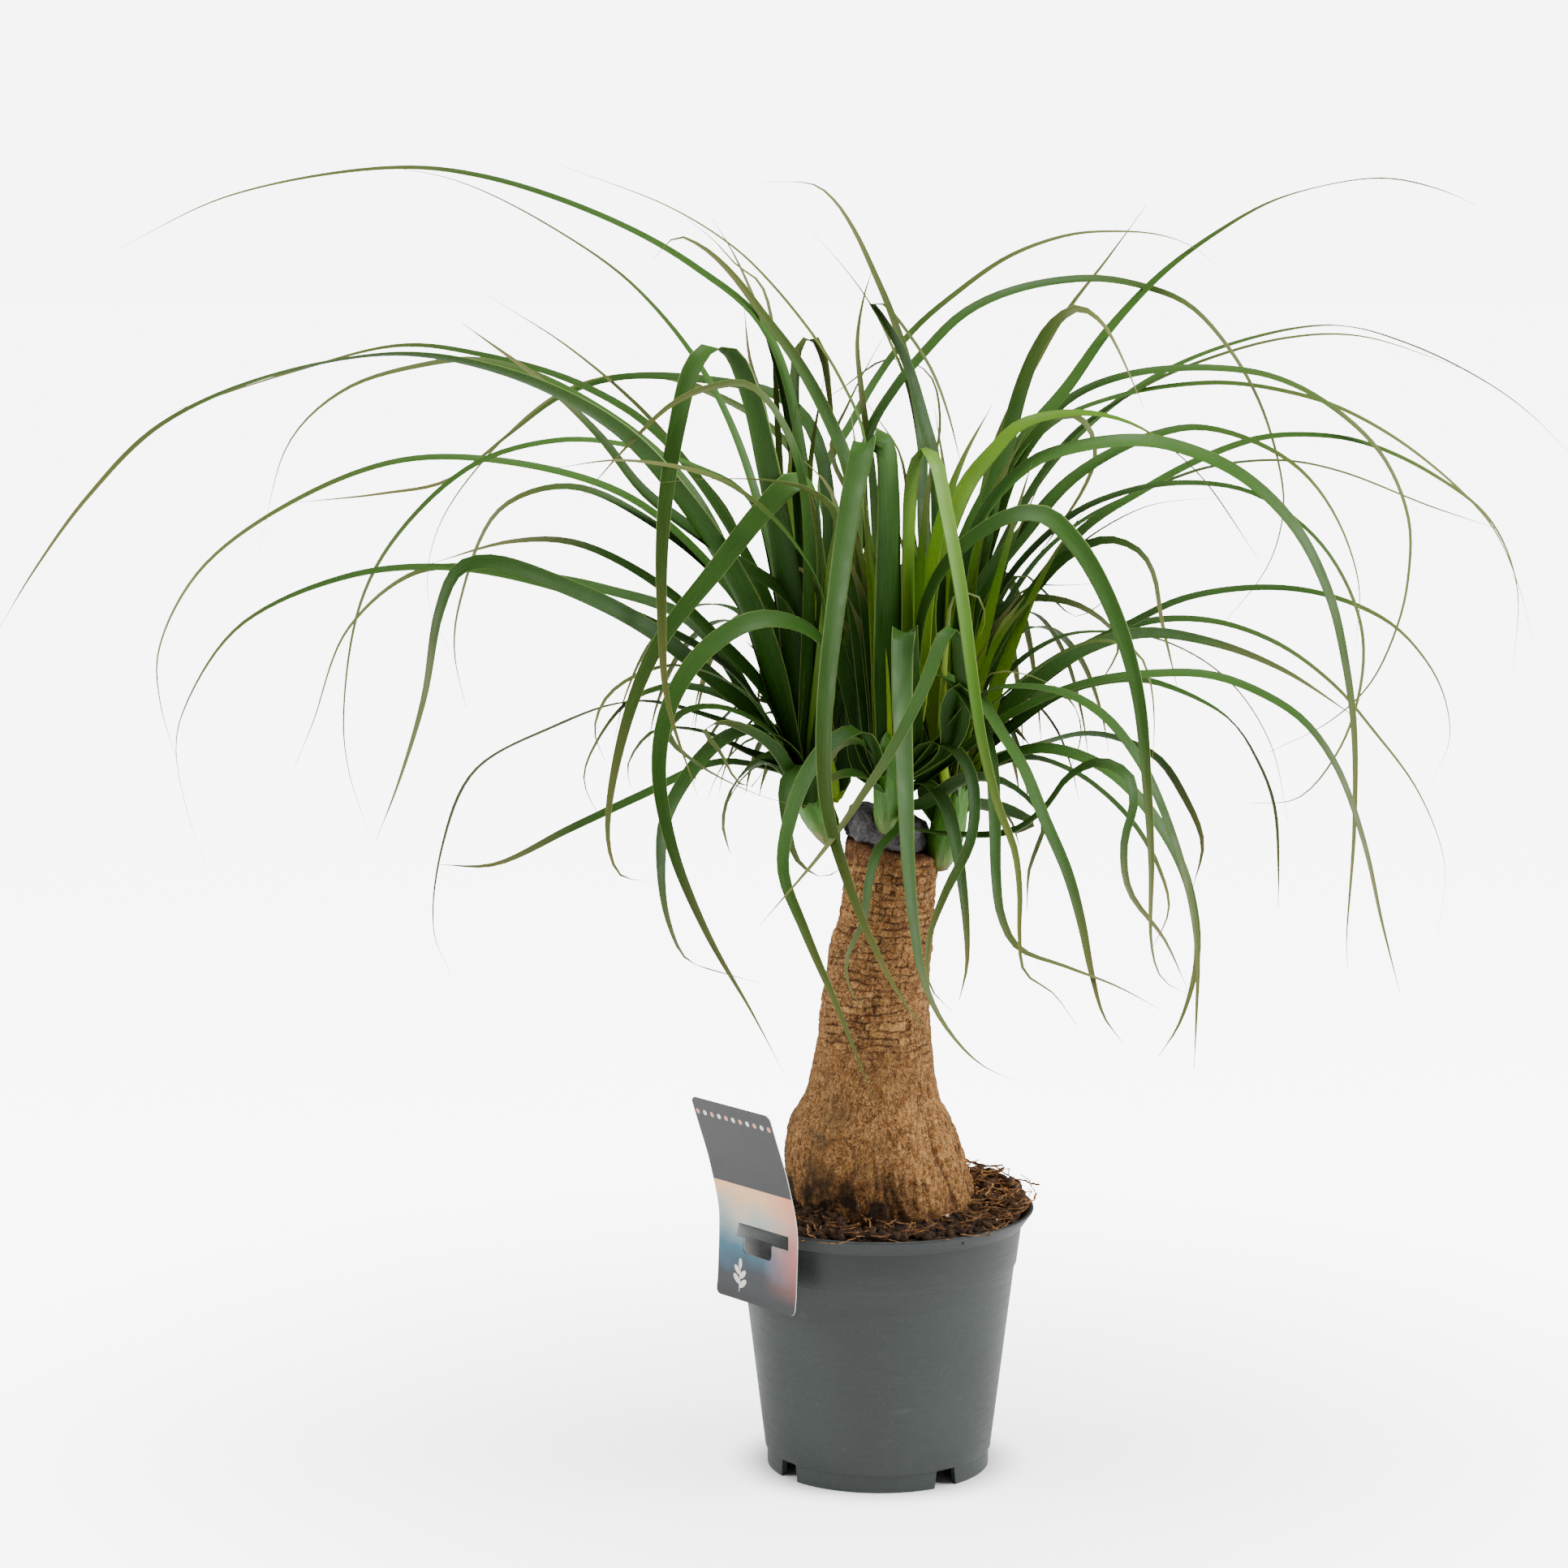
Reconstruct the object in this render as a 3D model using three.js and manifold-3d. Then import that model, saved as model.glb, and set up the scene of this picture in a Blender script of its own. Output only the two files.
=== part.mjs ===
// A potted ponytail palm: a swollen trunk with a sawn, wax-sealed top, three leafy heads of long
// arching strap leaves, a grey nursery pot filled with peat, and a plain card hooked over its rim.
// Millimetres, +Z up. The origin is on the floor under the pot's axis; the card side is the front (-Y).
import * as THREE from "three";
import { mergeVertices } from "three/addons/utils/BufferGeometryUtils.js";
import Module from "manifold-3d";

const wasm = await Module();
wasm.setup();

// ---------------------------------------------------------------- driving dimensions
const GAP = 0.3;                       // clearance left between pieces that touch
const POT = {
  height: 147, rim: 86, flangeFoot: 80, flangeHeight: 8.5, wall: 1.7,
  stepHeight: 115.5, step: 1, foot: 61.7, footHeight: 10, floor: 11, sides: 40,
};
const DRAIN = { angles: [36, 126, 216, 306], width: 15, top: 12, height: 10.4 };
const SOIL = { level: 146, lump: 1.6, bank: 2.6, sides: 32 };
const EYE = { across: -52.5, away: 2400, up: 747 };   // where the leaf courses below are seen from
const MERGE = 0.001;                   // facets that differ by less than this are merged
const LEAF = {
  keel: 1, tipKeel: 0.7, tipWidth: 1.3,               // depth under the midline, and the least width
  clasp: 0.55, clear: 4, taper: 1.7,                  // share of its width at its root, and how it widens and tapers
  samples: 72, stride: 44, straight: 1.6, spans: [5, 10],   // how its cross sections are spaced
};
const CARD = {
  azimuth: 220, stand: 0.6, width: 66, thick: 0.8, foot: 105, top: 218, corner: 3.5,
  window: [52, 139.6, 147.6], tab: [24, 131, 140.5], tongue: 22,
  bend: [[2.6, 104], [1, 122], [0.4, 137], [0.4, 150], [3, 165], [8, 184], [14, 201], [20.5, 219]],
  hook: [[0.4, 151.5], [-0.6, 149.6], [-3, 148.6], [-5.2, 147], [-8.8, 141], [-10.7, 138], [-12, 132]],
};

// Trunk sections: height, how far its centre leans to the right, and radius.
const TRUNK = [
  [99, 0, 24], [108, 0, 40], [124, 0.5, 48.5], [146, 0.6, 51.6], [160, -0.8, 51.3], [175, -2.8, 49.7],
  [186, -4, 47.3], [196, -4.9, 44], [204, -4.8, 39.4], [214, -3.7, 35.8], [228, -3.3, 33.3],
  [244, -2.6, 31.4], [262, -2.1, 30], [276, -1.1, 28.6], [295, 1.1, 28.6], [308, 3.5, 26.5],
  [325, 5.4, 25.8], [342, 6.7, 26.1],
];
const TRUNK_SIDES = 26;
const TRUNK_TOP = { centre: 6.8, level: 349, slope: -0.22, radius: 23.5 };
const CUT = { centre: 3.6, thick: 18, radius: 22.3, sides: 18 };

// Each head: where it sprouts, the way it leans and its girth.
const HEADS = {
  left: { base: [-27, 0, 350], lean: [-0.42, 0, 1], girth: 10 },
  middle: { base: [4, -19, 356], lean: [-0.02, -0.22, 1], girth: 7.5 },
  right: { base: [33, -5, 337], lean: [0.18, 0.05, 1], girth: 9.5 },
};
const SHOOT = {
  rings: [[0, 0.3], [9, 0.85], [22, 1], [38, 1], [70, 1.1], [100, 0.9], [112, 0.5]],   // height, share of girth
  sides: 12, heart: 20,
  root: [8, 34], spread: [0.75, 0.3],                 // where leaves start: low ones first, upright ones last
};

// Leaves, one row each: width, depth of its middle and of its tip behind the trunk's axis, how far
// the blade is rolled about its course at its base, middle and tip (degrees), and the course itself
// as [across, up] points, seen from EYE on the upright plane through the trunk's axis.
const LEFT_LEAVES = [
  [13, 30, 60, -40, -20, -40, [[-40, 540], [-62, 630], [-100, 664], [-147, 690], [-212, 712], [-262, 717],
    [-350, 702], [-410, 674]]],
  [10, -8, -20, -30, -30, 0, [[-62, 520], [-90, 598], [-130, 651], [-170, 681], [-228, 710], [-285, 720]]],
  [17, -110, -300, 15, 15, -15, [[-70, 480], [-120, 556], [-150, 583], [-200, 607], [-260, 618],
    [-330, 606], [-390, 579], [-430, 540], [-460, 500], [-480, 468]]],
  [12, 40, 90, -35, -15, -45, [[-60, 480], [-115, 569], [-160, 600], [-220, 618], [-260, 622], [-320, 607],
    [-390, 584]]],
  [10, -40, -90, -45, -45, 0, [[-100, 540], [-165, 596], [-215, 614], [-250, 611], [-290, 598], [-320, 570],
    [-338, 508]]],
  [10, 10, -60, -30, -30, -30, [[-70, 470], [-100, 511], [-140, 542], [-200, 559], [-260, 560], [-320, 537],
    [-370, 500], [-393, 457], [-393, 428], [-383, 391]]],
  [12, 50, 110, -30, -30, -60, [[-28, 530], [-38, 578], [-56, 595], [-90, 603], [-140, 605], [-172, 595],
    [-200, 575], [-235, 549], [-270, 542], [-317, 537]]],
  [6, 70, 130, 0, -45, -45, [[-45, 560], [-100, 600], [-130, 606], [-172, 597], [-215, 560], [-241, 521],
    [-246, 485], [-231, 448]]],
  [12, -20, -60, -20, -15, -15, [[-70, 538], [-100, 557], [-140, 569], [-175, 571], [-220, 558],
    [-262, 520], [-283, 482], [-293, 420], [-290, 387], [-276, 346]]],
  [13, -60, -150, -15, -15, 30, [[-75, 440], [-120, 470], [-180, 492], [-235, 502], [-290, 497],
    [-350, 469], [-381, 422], [-385, 400], [-378, 362], [-370, 338]]],
  [13, -70, -160, -30, -85, -90, [[-60, 412], [-90, 440], [-130, 471], [-170, 491], [-212, 505],
    [-229, 501], [-240, 478], [-249, 430], [-264, 382], [-276, 352]]],
  [9, 20, 60, -30, -30, -75, [[-75, 480], [-130, 530], [-170, 546], [-207, 533], [-229, 482], [-232, 455],
    [-226, 425]]],
  [9, 90, 170, -45, -45, -75, [[-100, 470], [-150, 490], [-200, 499], [-250, 500], [-290, 468], [-310, 416],
    [-321, 390]]],
  [13, -30, -60, -15, -45, -15, [[-60, 430], [-90, 464], [-120, 492], [-165, 515], [-200, 516],
    [-247, 503]]],
  [8, 40, 80, -15, -15, -15, [[-80, 525], [-100, 553], [-130, 588], [-170, 622], [-211, 648]]],
  [15, -39, -89, -60, -45, -90, [[-45, 478], [-85, 510], [-128, 543], [-152, 573], [-180, 600],
    [-226, 634]]],
  [10, -50, -80, -75, -75, -30, [[-45, 560], [-70, 600], [-90, 600], [-112, 591], [-135, 570],
    [-162, 540]]],
  [17, -50, -110, 15, 0, -35, [[-49, 480], [-55, 523], [-62, 560], [-71, 597], [-81, 618], [-92, 621],
    [-101, 612], [-111, 575], [-118, 525], [-119, 475], [-116, 428], [-100, 377]]],
  [9, -60, -90, -60, -15, 15, [[-55, 408], [-85, 425], [-107, 423], [-116, 411], [-100, 394], [-62, 375],
    [-30, 369]]],
  [16, -50, -130, -30, -55, -15, [[-33, 470], [-32, 520], [-37, 545], [-46, 549], [-62, 535], [-90, 500],
    [-122, 458], [-141, 408], [-149, 352], [-142, 332], [-122, 329]]],
  [13, -75, -86, -45, -45, 0, [[-24, 440], [-34, 464], [-52, 473], [-72, 472], [-98, 454], [-115, 426],
    [-121, 392], [-114, 348], [-95, 300], [-70, 255], [-52, 220]]],
  [13, -60, -100, -40, 0, 40, [[-45, 400], [-62, 413], [-80, 411], [-97, 398], [-117, 365], [-120, 335],
    [-116, 306], [-106, 285], [-88, 278], [-66, 272]]],
  [12, 10, 20, 10, -30, -60, [[-45, 385], [-65, 393], [-90, 395], [-130, 377], [-170, 358], [-212, 338],
    [-242, 338]]],
  [8, 50, 100, -30, 0, 0, [[-50, 400], [-95, 421], [-135, 429], [-180, 414], [-222, 390], [-240, 348],
    [-245, 300], [-236, 277]]],
  [9, -50, -90, 0, -15, -15, [[-70, 430], [-105, 448], [-128, 445], [-149, 431], [-156, 412], [-150, 395]]],
  [10, 30, 60, 0, -30, -60, [[-60, 415], [-105, 437], [-135, 430], [-155, 406], [-162, 385], [-152, 361]]],
  [13, -25, -60, -40, -15, 15, [[-50, 392], [-70, 400], [-100, 413], [-124, 412], [-138, 393],
    [-136, 380]]],
  [8, -60, -90, 40, 40, 40, [[-60, 405], [-86, 417], [-96, 413], [-87, 400], [-78, 384], [-71, 381],
    [-62, 393]]],
  [12, -20, -45, 80, 45, -15, [[-45, 385], [-60, 398], [-78, 386], [-86, 362], [-82, 344]]],
  [16, 8, 20, -30, -30, -60, [[-20, 440], [-13, 505], [-17, 553], [-28, 582], [-45, 613], [-62, 636],
    [-82, 662], [-97, 675], [-110, 680], [-123, 668]]],
  [7, 8, 50, 0, 0, -30, [[-14, 500], [-9, 572], [-21, 602], [-35, 625], [-60, 656], [-80, 675], [-114, 696],
    [-172, 718]]],
  [12, 20, 30, 0, 0, -15, [[-44, 500], [-47, 550], [-52, 592], [-63, 632], [-78, 668], [-91, 690]]],
  [13, 30, 40, 0, 15, -15, [[-56, 540], [-64, 590], [-71, 615], [-74, 643]]],
  [8, -45, -90, 40, 40, -15, [[-27, 500], [-24, 530], [-39, 544], [-60, 549], [-90, 550], [-129, 547]]],
  [16, 24, 34, -15, -15, 0, [[-44, 480], [-46, 560], [-47, 600], [-44, 622], [-38, 627], [-32, 618],
    [-28, 595], [-24, 555]]],
  [9, -50, -110, 0, -45, -45, [[-31, 485], [-45, 513], [-65, 535], [-90, 551], [-140, 560], [-175, 556]]],
  [11, -42, -34, 0, 15, 15, [[-42, 394], [-51, 385], [-52, 370], [-47, 344], [-41, 336], [-31, 331],
    [-21, 336]]],
  [7, 20, 40, -20, -20, -20, [[-46, 420], [-52, 500], [-56, 580], [-60, 640], [-66, 656], [-78, 665],
    [-90, 678], [-105, 690]]],
  [10, 16, 24, 0, 0, 0, [[-36, 440], [-39, 500], [-38, 560], [-31, 604]]],
  [9, 8, 14, 0, -10, 0, [[-42, 430], [-47, 490], [-50, 545], [-46, 590]]],
  [11, -10, -26, 0, -20, 0, [[-32, 420], [-31, 470], [-34, 520], [-44, 560]]],
];
const MIDDLE_LEAVES = [
  [19, -75, -160, 5, 38, 0, [[4, 440], [4, 500], [4, 545], [1, 569], [-7, 572], [-13, 553], [-18, 527],
    [-23, 491], [-29, 440], [-31, 405], [-29, 370], [-19, 333], [-6, 299], [10, 267], [29, 240]]],
  [12, -60, -130, 15, 15, 45, [[14, 450], [15, 510], [17, 553], [23, 567], [29, 560], [36, 530], [44, 487],
    [50, 443], [56, 405], [65, 370], [74, 346], [77, 322], [77, 300], [80, 278], [96, 266], [109, 248]]],
  [16, -85, -140, 0, 0, -15, [[16, 400], [15, 445], [13.5, 470], [12.5, 466], [12, 430], [14, 376],
    [16, 334], [19, 305], [24, 275], [35, 250], [55, 227], [79, 215]]],
  [10, -75, -150, -15, -15, -15, [[43, 410], [43, 450], [40, 469], [35, 465], [24, 437], [6, 401],
    [-8, 379], [-30, 347], [-66, 304]]],
  [11, -70, -140, 0, 15, 15, [[20, 420], [24, 440], [33, 444], [45, 434], [56, 414], [61, 395], [63, 362],
    [64, 330], [67, 309], [76, 292], [103, 281], [131, 270], [155, 257]]],
  [14, -62, -115, 45, 45, 30, [[18, 440], [23, 478], [34, 502], [52, 520], [74, 531], [90, 530], [105, 516],
    [117, 498], [131, 467], [141, 430], [146, 384], [149, 341], [150, 291], [156, 274], [173, 264]]],
  [14, -70, -140, 0, 0, 60, [[36, 400], [38, 428], [46, 438], [56, 428], [66, 412], [78, 393], [90, 364],
    [103, 334], [111, 306], [117, 277], [124, 253], [134, 239]]],
  [9, -60, -105, 0, 0, 0, [[14, 392], [28, 406], [40, 403], [49, 390], [52, 370], [49, 349], [36, 322],
    [27, 295], [28, 270], [41, 255]]],
  [10, -55, -85, 0, 0, 15, [[14, 382], [25, 384], [35, 374], [41, 354], [45, 330], [48, 300], [48, 280],
    [44, 262]]],
  [9, -52, -66, 15, 15, 30, [[8, 378], [14, 366], [10, 358], [0, 348], [-6, 328], [-9, 306], [-17, 289],
    [-18, 275], [-11, 260], [-1, 256]]],
  [10, -112, -130, 0, -30, -15, [[0, 392], [-10, 413], [-24, 408], [-38, 392], [-48, 368], [-53, 335],
    [-41, 301], [-23, 258], [-2, 204]]],
  [11, -70, -120, 0, 15, 45, [[34, 410], [56, 434], [80, 437], [104, 432], [124, 419], [143, 394],
    [157, 364], [169, 327], [175, 290], [175, 255], [174, 223]]],
  [12, -55, -100, 40, 15, 60, [[40, 398], [72, 422], [113, 439], [152, 444], [180, 443], [206, 434],
    [231, 418], [250, 392], [266, 349], [276, 307], [287, 266]]],
  [11, -45, -65, -45, -45, -60, [[24, 372], [46, 386], [66, 385], [82, 374], [90, 361], [86, 347],
    [82, 335], [81, 312]]],
  [9, -40, -62, -80, -45, -30, [[1, 385], [-4, 400], [-13, 407], [-23, 403], [-29, 388]]],
  [12, -50, -76, -15, -30, -30, [[2, 376], [-5, 386], [-16, 389], [-26, 386], [-34, 376]]],
  [12, -45, -75, 0, 30, 30, [[34, 356], [72, 357], [90, 370], [103, 387], [120, 395], [136, 387],
    [139, 372], [134, 350], [137, 324], [157, 296], [170, 268]]],
  [10, -34, -40, 10, 0, 0, [[3, 430], [-2, 480], [-7, 520], [-10, 552]]],
  [9, -26, -20, 0, 0, 0, [[12, 430], [16, 490], [19, 540], [24, 578]]],
  [13, -22, -14, 70, 55, 40, [[18, 420], [24, 480], [32, 525], [44, 560], [60, 590]]],
  [13, -24, -20, 60, 40, 30, [[14, 420], [19, 470], [23, 520], [27, 562]]],
  [13, -24, -30, -80, -60, -40, [[-4, 410], [-11, 460], [-19, 510], [-28, 545], [-42, 560]]],
  [13, -14, -18, -80, -60, -40, [[-6, 400], [-18, 440], [-30, 480], [-42, 500], [-58, 503]]],
  [13, -14, -10, -80, -70, -60, [[-2, 410], [-7, 460], [-12, 510], [-18, 545]]],
  [13, -12, -6, -60, -60, -60, [[-9, 390], [-14, 430], [-13, 475], [-6, 525]]],
  [10, -34, -30, -70, -60, -50, [[0, 420], [-3, 470], [-7, 520], [-12, 555], [-17, 590]]],
];
const RIGHT_LEAVES = [
  [10, 76, 60, 15, 15, 30, [[-14, 490], [-32, 548], [-15, 582], [-4, 602], [16, 629], [40, 650], [69, 670],
    [100, 681], [123, 683], [150, 681], [170, 673], [191, 653]]],
  [10, 50, 90, 15, 30, 70, [[-8, 520], [-7, 573], [8, 600], [21, 616], [44, 639], [72, 652], [112, 658],
    [140, 654], [165, 644], [187, 621], [205, 590], [217, 550], [218, 530], [210, 502], [180, 463]]],
  [17, 20, 50, 0, 30, 75, [[48, 470], [58, 530], [68, 570], [76, 600], [84, 620], [93, 634], [106, 642],
    [118, 635], [126, 623], [142, 588]]],
  [14, 40, 130, 15, 15, -40, [[42, 500], [60, 545], [80, 575], [100, 599], [122, 630], [150, 660],
    [179, 682], [211, 700], [250, 710], [274, 711], [300, 705], [319, 697]]],
  [8, 70, 110, 0, 30, 30, [[60, 560], [87, 619], [101, 642], [121, 668], [142, 697]]],
  [9, 60, 100, 0, 30, 85, [[45, 490], [75, 560], [100, 592], [132, 606], [177, 610], [212, 605], [242, 590],
    [271, 563], [286, 529], [287, 500], [282, 472], [267, 438], [245, 417], [212, 400]]],
  [9, 90, 200, -40, 15, 70, [[50, 520], [89, 577], [125, 594], [180, 602], [220, 597], [251, 587],
    [291, 563], [331, 525], [347, 491], [355, 463]]],
  [12, 50, 150, 15, 15, 70, [[55, 450], [83, 490], [110, 523], [142, 544], [171, 560], [204, 572],
    [231, 574], [260, 570], [298, 553], [331, 527], [346, 491], [345, 446]]],
  [11, 20, 40, 0, 15, 70, [[60, 480], [100, 528], [132, 543], [165, 548], [200, 543], [231, 523],
    [250, 499], [262, 468], [262, 437], [251, 402], [229, 375], [203, 372]]],
  [14, 11, 21, 80, 30, 45, [[50, 480], [81, 525], [100, 547], [121, 562], [148, 574], [171, 578],
    [200, 571], [227, 555], [247, 529], [260, 492], [259, 458]]],
  [15, -14, -34, 30, 30, 60, [[50, 520], [79, 557], [100, 566], [135, 571], [159, 568], [194, 553],
    [224, 525], [244, 487], [254, 447], [259, 411], [260, 357], [257, 294], [258, 280]]],
  [15, -8, 10, 70, 45, -30, [[24, 480], [35, 520], [48, 549], [60, 564], [75, 579], [95, 585], [118, 585],
    [142, 577], [171, 554], [206, 505]]],
  [13, 22, 30, 0, 30, 85, [[52, 490], [60, 520], [71, 553], [81, 570], [92, 582], [103, 585], [112, 578],
    [116, 563], [110, 545], [84, 506]]],
  [9, 120, 300, 0, 0, 0, [[50, 470], [75, 532], [101, 568], [142, 602], [189, 623], [244, 633], [284, 623],
    [327, 602], [352, 584], [373, 563]]],
  [10, 80, 150, 15, 0, 45, [[55, 480], [77, 536], [103, 573], [136, 597], [171, 613], [218, 626],
    [258, 627], [318, 608]]],
  [9, 100, 180, 0, 0, 60, [[50, 440], [80, 500], [110, 528], [150, 547], [180, 557], [218, 560], [249, 554],
    [298, 535], [334, 523]]],
  [6, 30, 50, 0, 0, 0, [[60, 450], [85, 490], [110, 516], [144, 535], [170, 539], [193, 540]]],
  [14, 6, 16, 30, 30, 75, [[50, 430], [62, 457], [79, 484], [101, 508], [123, 517], [140, 511], [148, 499],
    [153, 473], [162, 436]]],
  [12, 30, 60, 15, 15, 45, [[45, 400], [70, 430], [100, 453], [135, 471], [165, 485], [206, 491],
    [242, 487], [278, 471], [300, 447], [309, 427], [311, 406], [301, 382]]],
  [8, 50, 110, 0, 30, 45, [[45, 395], [75, 428], [105, 452], [140, 471], [178, 473], [215, 461], [247, 438],
    [269, 413], [295, 378], [310, 338], [307, 297]]],
  [12, -6, -16, 45, 45, 45, [[46, 395], [63, 418], [85, 440], [107, 455], [141, 466], [180, 461],
    [219, 446], [262, 418]]],
  [8, 70, 110, -15, 15, 70, [[50, 410], [72, 447], [98, 464], [118, 467], [154, 462], [189, 441],
    [213, 406], [224, 361]]],
  [13, 20, 30, 0, 15, -45, [[45, 388], [72, 415], [100, 434], [135, 441], [157, 437], [191, 419],
    [206, 397], [216, 371], [219, 330], [219, 314]]],
  [13, -6, -22, 15, 30, 85, [[48, 385], [62, 395], [80, 402], [97, 402], [121, 393], [141, 376], [159, 351],
    [170, 325], [175, 288], [166, 250], [154, 230]]],
  [13, 34, 44, -45, -30, -75, [[44, 385], [60, 397], [83, 404], [110, 411], [131, 408], [152, 397],
    [166, 377], [177, 350], [172, 325]]],
  [12, 60, 84, -30, 30, 85, [[50, 385], [80, 398], [106, 390], [123, 378], [140, 360], [153, 337],
    [159, 313], [149, 289]]],
  [10, 20, 30, 0, 30, 85, [[42, 440], [55, 468], [71, 483], [91, 485], [110, 480], [126, 468], [130, 459],
    [115, 430]]],
  [10, 50, 70, 0, 0, 0, [[55, 460], [76, 498], [92, 486], [107, 475], [130, 490]]],
  [12, 60, 74, 30, 60, 0, [[50, 400], [70, 425], [90, 434], [104, 429], [110, 411], [104, 391]]],
  [14, 24, 30, -15, -30, -85, [[45, 395], [58, 412], [70, 416], [82, 404]]],
  [11, 30, 40, 0, 0, -45, [[2, 480], [-5, 555], [-11, 600], [-13, 625], [-9, 650], [-4, 665]]],
  [14, 24, 16, 0, -15, 30, [[31, 520], [29, 560], [24, 579], [12, 617], [0, 637], [-5, 645], [2, 643],
    [14, 629], [27, 609], [36, 586], [44, 555]]],
  [10, 50, 126, 0, 0, -30, [[23, 520], [22, 570], [15, 610], [5, 640], [-4, 661], [-15, 684], [-26, 700],
    [-37, 708], [-68, 709]]],
  [9, 50, 85, 15, 15, 15, [[24, 540], [19, 579], [14, 601], [6, 621], [-4, 641], [-18, 661], [-43, 689]]],
  [8, 40, 50, 0, 0, 30, [[16, 530], [10, 564], [0, 580], [-14, 599], [-24, 610]]],
  [7, 55, 60, 15, -15, 45, [[-12, 530], [-27, 566], [-18, 590], [-7, 612], [6, 634], [17, 649]]],
  [9, 60, 92, 0, 30, -15, [[26, 540], [32, 580], [27, 605], [14, 614], [1, 614], [-24, 597], [-50, 583]]],
  [14, 8, 16, -15, -45, -60, [[45, 371], [60, 371], [76, 366], [84, 361], [74, 355]]],
  [8, 12, 20, 0, 0, -15, [[50, 372], [65, 370], [72, 362], [77, 347]]],
  [8, -20, -40, 15, 15, 15, [[40, 400], [90, 450], [120, 462], [140, 455], [147, 440], [149.7, 417],
    [148.8, 392]]],
  [10, 1, 5, 0, 0, 0, [[44, 410], [48, 460], [53, 505], [62, 545]]],
  [10, 6, 12, 10, 10, 10, [[48, 420], [59, 470], [72, 515], [90, 556]]],
  [9, 14, 20, 0, 0, 0, [[36, 420], [38, 480], [36, 540], [29, 588]]],
  [13, -12, -22, 80, 70, 60, [[42, 390], [47, 425], [56, 465], [69, 515], [82, 560]]],
  [13, 10, 6, 75, 60, 45, [[36, 410], [42, 470], [56, 530], [78, 575]]],
  [12, 2, -4, 70, 50, 30, [[52, 400], [70, 455], [92, 505], [112, 535]]],
];

// Leaves the picture plane hides: heads, span of headings, count, reach, crest height and width.
const HIDDEN_LEAVES = [
  { head: "right", headings: [52, 112], count: 11, reach: [120, 235], crest: [455, 505], width: [9, 14] },
  { head: "left", headings: [80, 135], count: 8, reach: [120, 235], crest: [455, 505], width: [9, 14] },
];
const SEED = 11;

// ---------------------------------------------------------------- helpers
const radians = THREE.MathUtils.degToRad;
const lerp = THREE.MathUtils.lerp;
const vec = (x, y, z) => new THREE.Vector3(x, y, z);

/** A repeatable stream of draws between 0 and 1. */
function draws(seed) {
  let state = seed;
  return () => {
    state = (Math.imul(state, 1664525) + 1013904223) >>> 0;
    return state / 2 ** 32;
  };
}

/** A closed geometry as a solid that can be joined and cut. */
function solid(geometry) {
  const bare = geometry.index ? geometry.toNonIndexed() : geometry.clone();
  bare.deleteAttribute("normal");
  bare.deleteAttribute("uv");
  const merged = mergeVertices(bare, 1e-4);
  return new wasm.Manifold(new wasm.Mesh({
    numProp: 3,
    vertProperties: new Float32Array(merged.attributes.position.array),
    triVerts: new Uint32Array(merged.index.array),
  }));
}

/** The solid's surface as a geometry. */
function surface(body) {
  const mesh = body.getMesh();
  const geometry = new THREE.BufferGeometry();
  geometry.setAttribute("position", new THREE.BufferAttribute(new Float32Array(mesh.vertProperties), 3));
  geometry.setIndex(new THREE.BufferAttribute(new Uint32Array(mesh.triVerts), 1));
  geometry.computeVertexNormals();
  return geometry;
}

/** The solid without the pockets that crossing pieces shut in, and without needlessly fine facets. */
function filled(body) {
  return body.simplify(MERGE).decompose().sort((a, b) => b.volume() - a.volume())[0];
}

/** Two triangles for a four-sided face, split along the diagonal that leaves more material inside. */
function bulgingSplit(points, a, b, c, d) {
  const normal = points[b].clone().sub(points[a]).cross(points[c].clone().sub(points[a]));
  return normal.dot(points[d].clone().sub(points[a])) > 0 ? [b, c, d, b, d, a] : [a, b, c, a, c, d];
}

/**
 * A closed skin over rings of equal point counts. Ends narrow to a point, or close with a fan. A thin
 * twisted blade is bulging, so that its faces don't pass through each other, and its rings then run
 * anticlockwise as seen from the far end.
 */
function skin(rings, bulging = false) {
  const size = rings[0].length;
  const points = rings.flat();
  const faces = [];
  for (let i = 0; i + 1 < rings.length; i++) {
    for (let j = 0; j < size; j++) {
      const a = i * size + j;
      const b = i * size + ((j + 1) % size);
      const [c, d] = [b + size, a + size];
      faces.push(...(bulging ? bulgingSplit(points, a, b, c, d) : [a, b, c, a, c, d]));
    }
  }
  const last = (rings.length - 1) * size;
  for (let j = 1; j + 1 < size; j++) {
    faces.push(0, j + 1, j, last, last + j, last + j + 1);
  }
  const volume = faces.reduce((sum, _, k) => (k % 3 ? sum : sum
    + points[faces[k]].dot(points[faces[k + 1]].clone().cross(points[faces[k + 2]]))), 0);
  if (volume < 0) {
    faces.reverse();
  }
  const geometry = new THREE.BufferGeometry().setFromPoints(points);
  geometry.setIndex(faces);
  return geometry;
}

/** A level ring round (x, y), its radius given for each turn angle. */
function ring(x, y, z, sides, radiusAt) {
  return Array.from({ length: sides }, (_, j) => {
    const turn = (j / sides) * 2 * Math.PI;
    return vec(x + radiusAt(turn) * Math.cos(turn), y + radiusAt(turn) * Math.sin(turn), z);
  });
}

// ---------------------------------------------------------------- pot
/** Radius of the pot's outer face at a height between its foot step and its flange. */
function potOutside(z) {
  const top = POT.height - POT.flangeHeight;
  const above = z > POT.stepHeight ? POT.step : 0;
  return lerp(POT.foot + 1.2, POT.flangeFoot - 0.5 - POT.step, (z - POT.footHeight) / (top - POT.footHeight)) + above;
}

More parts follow.
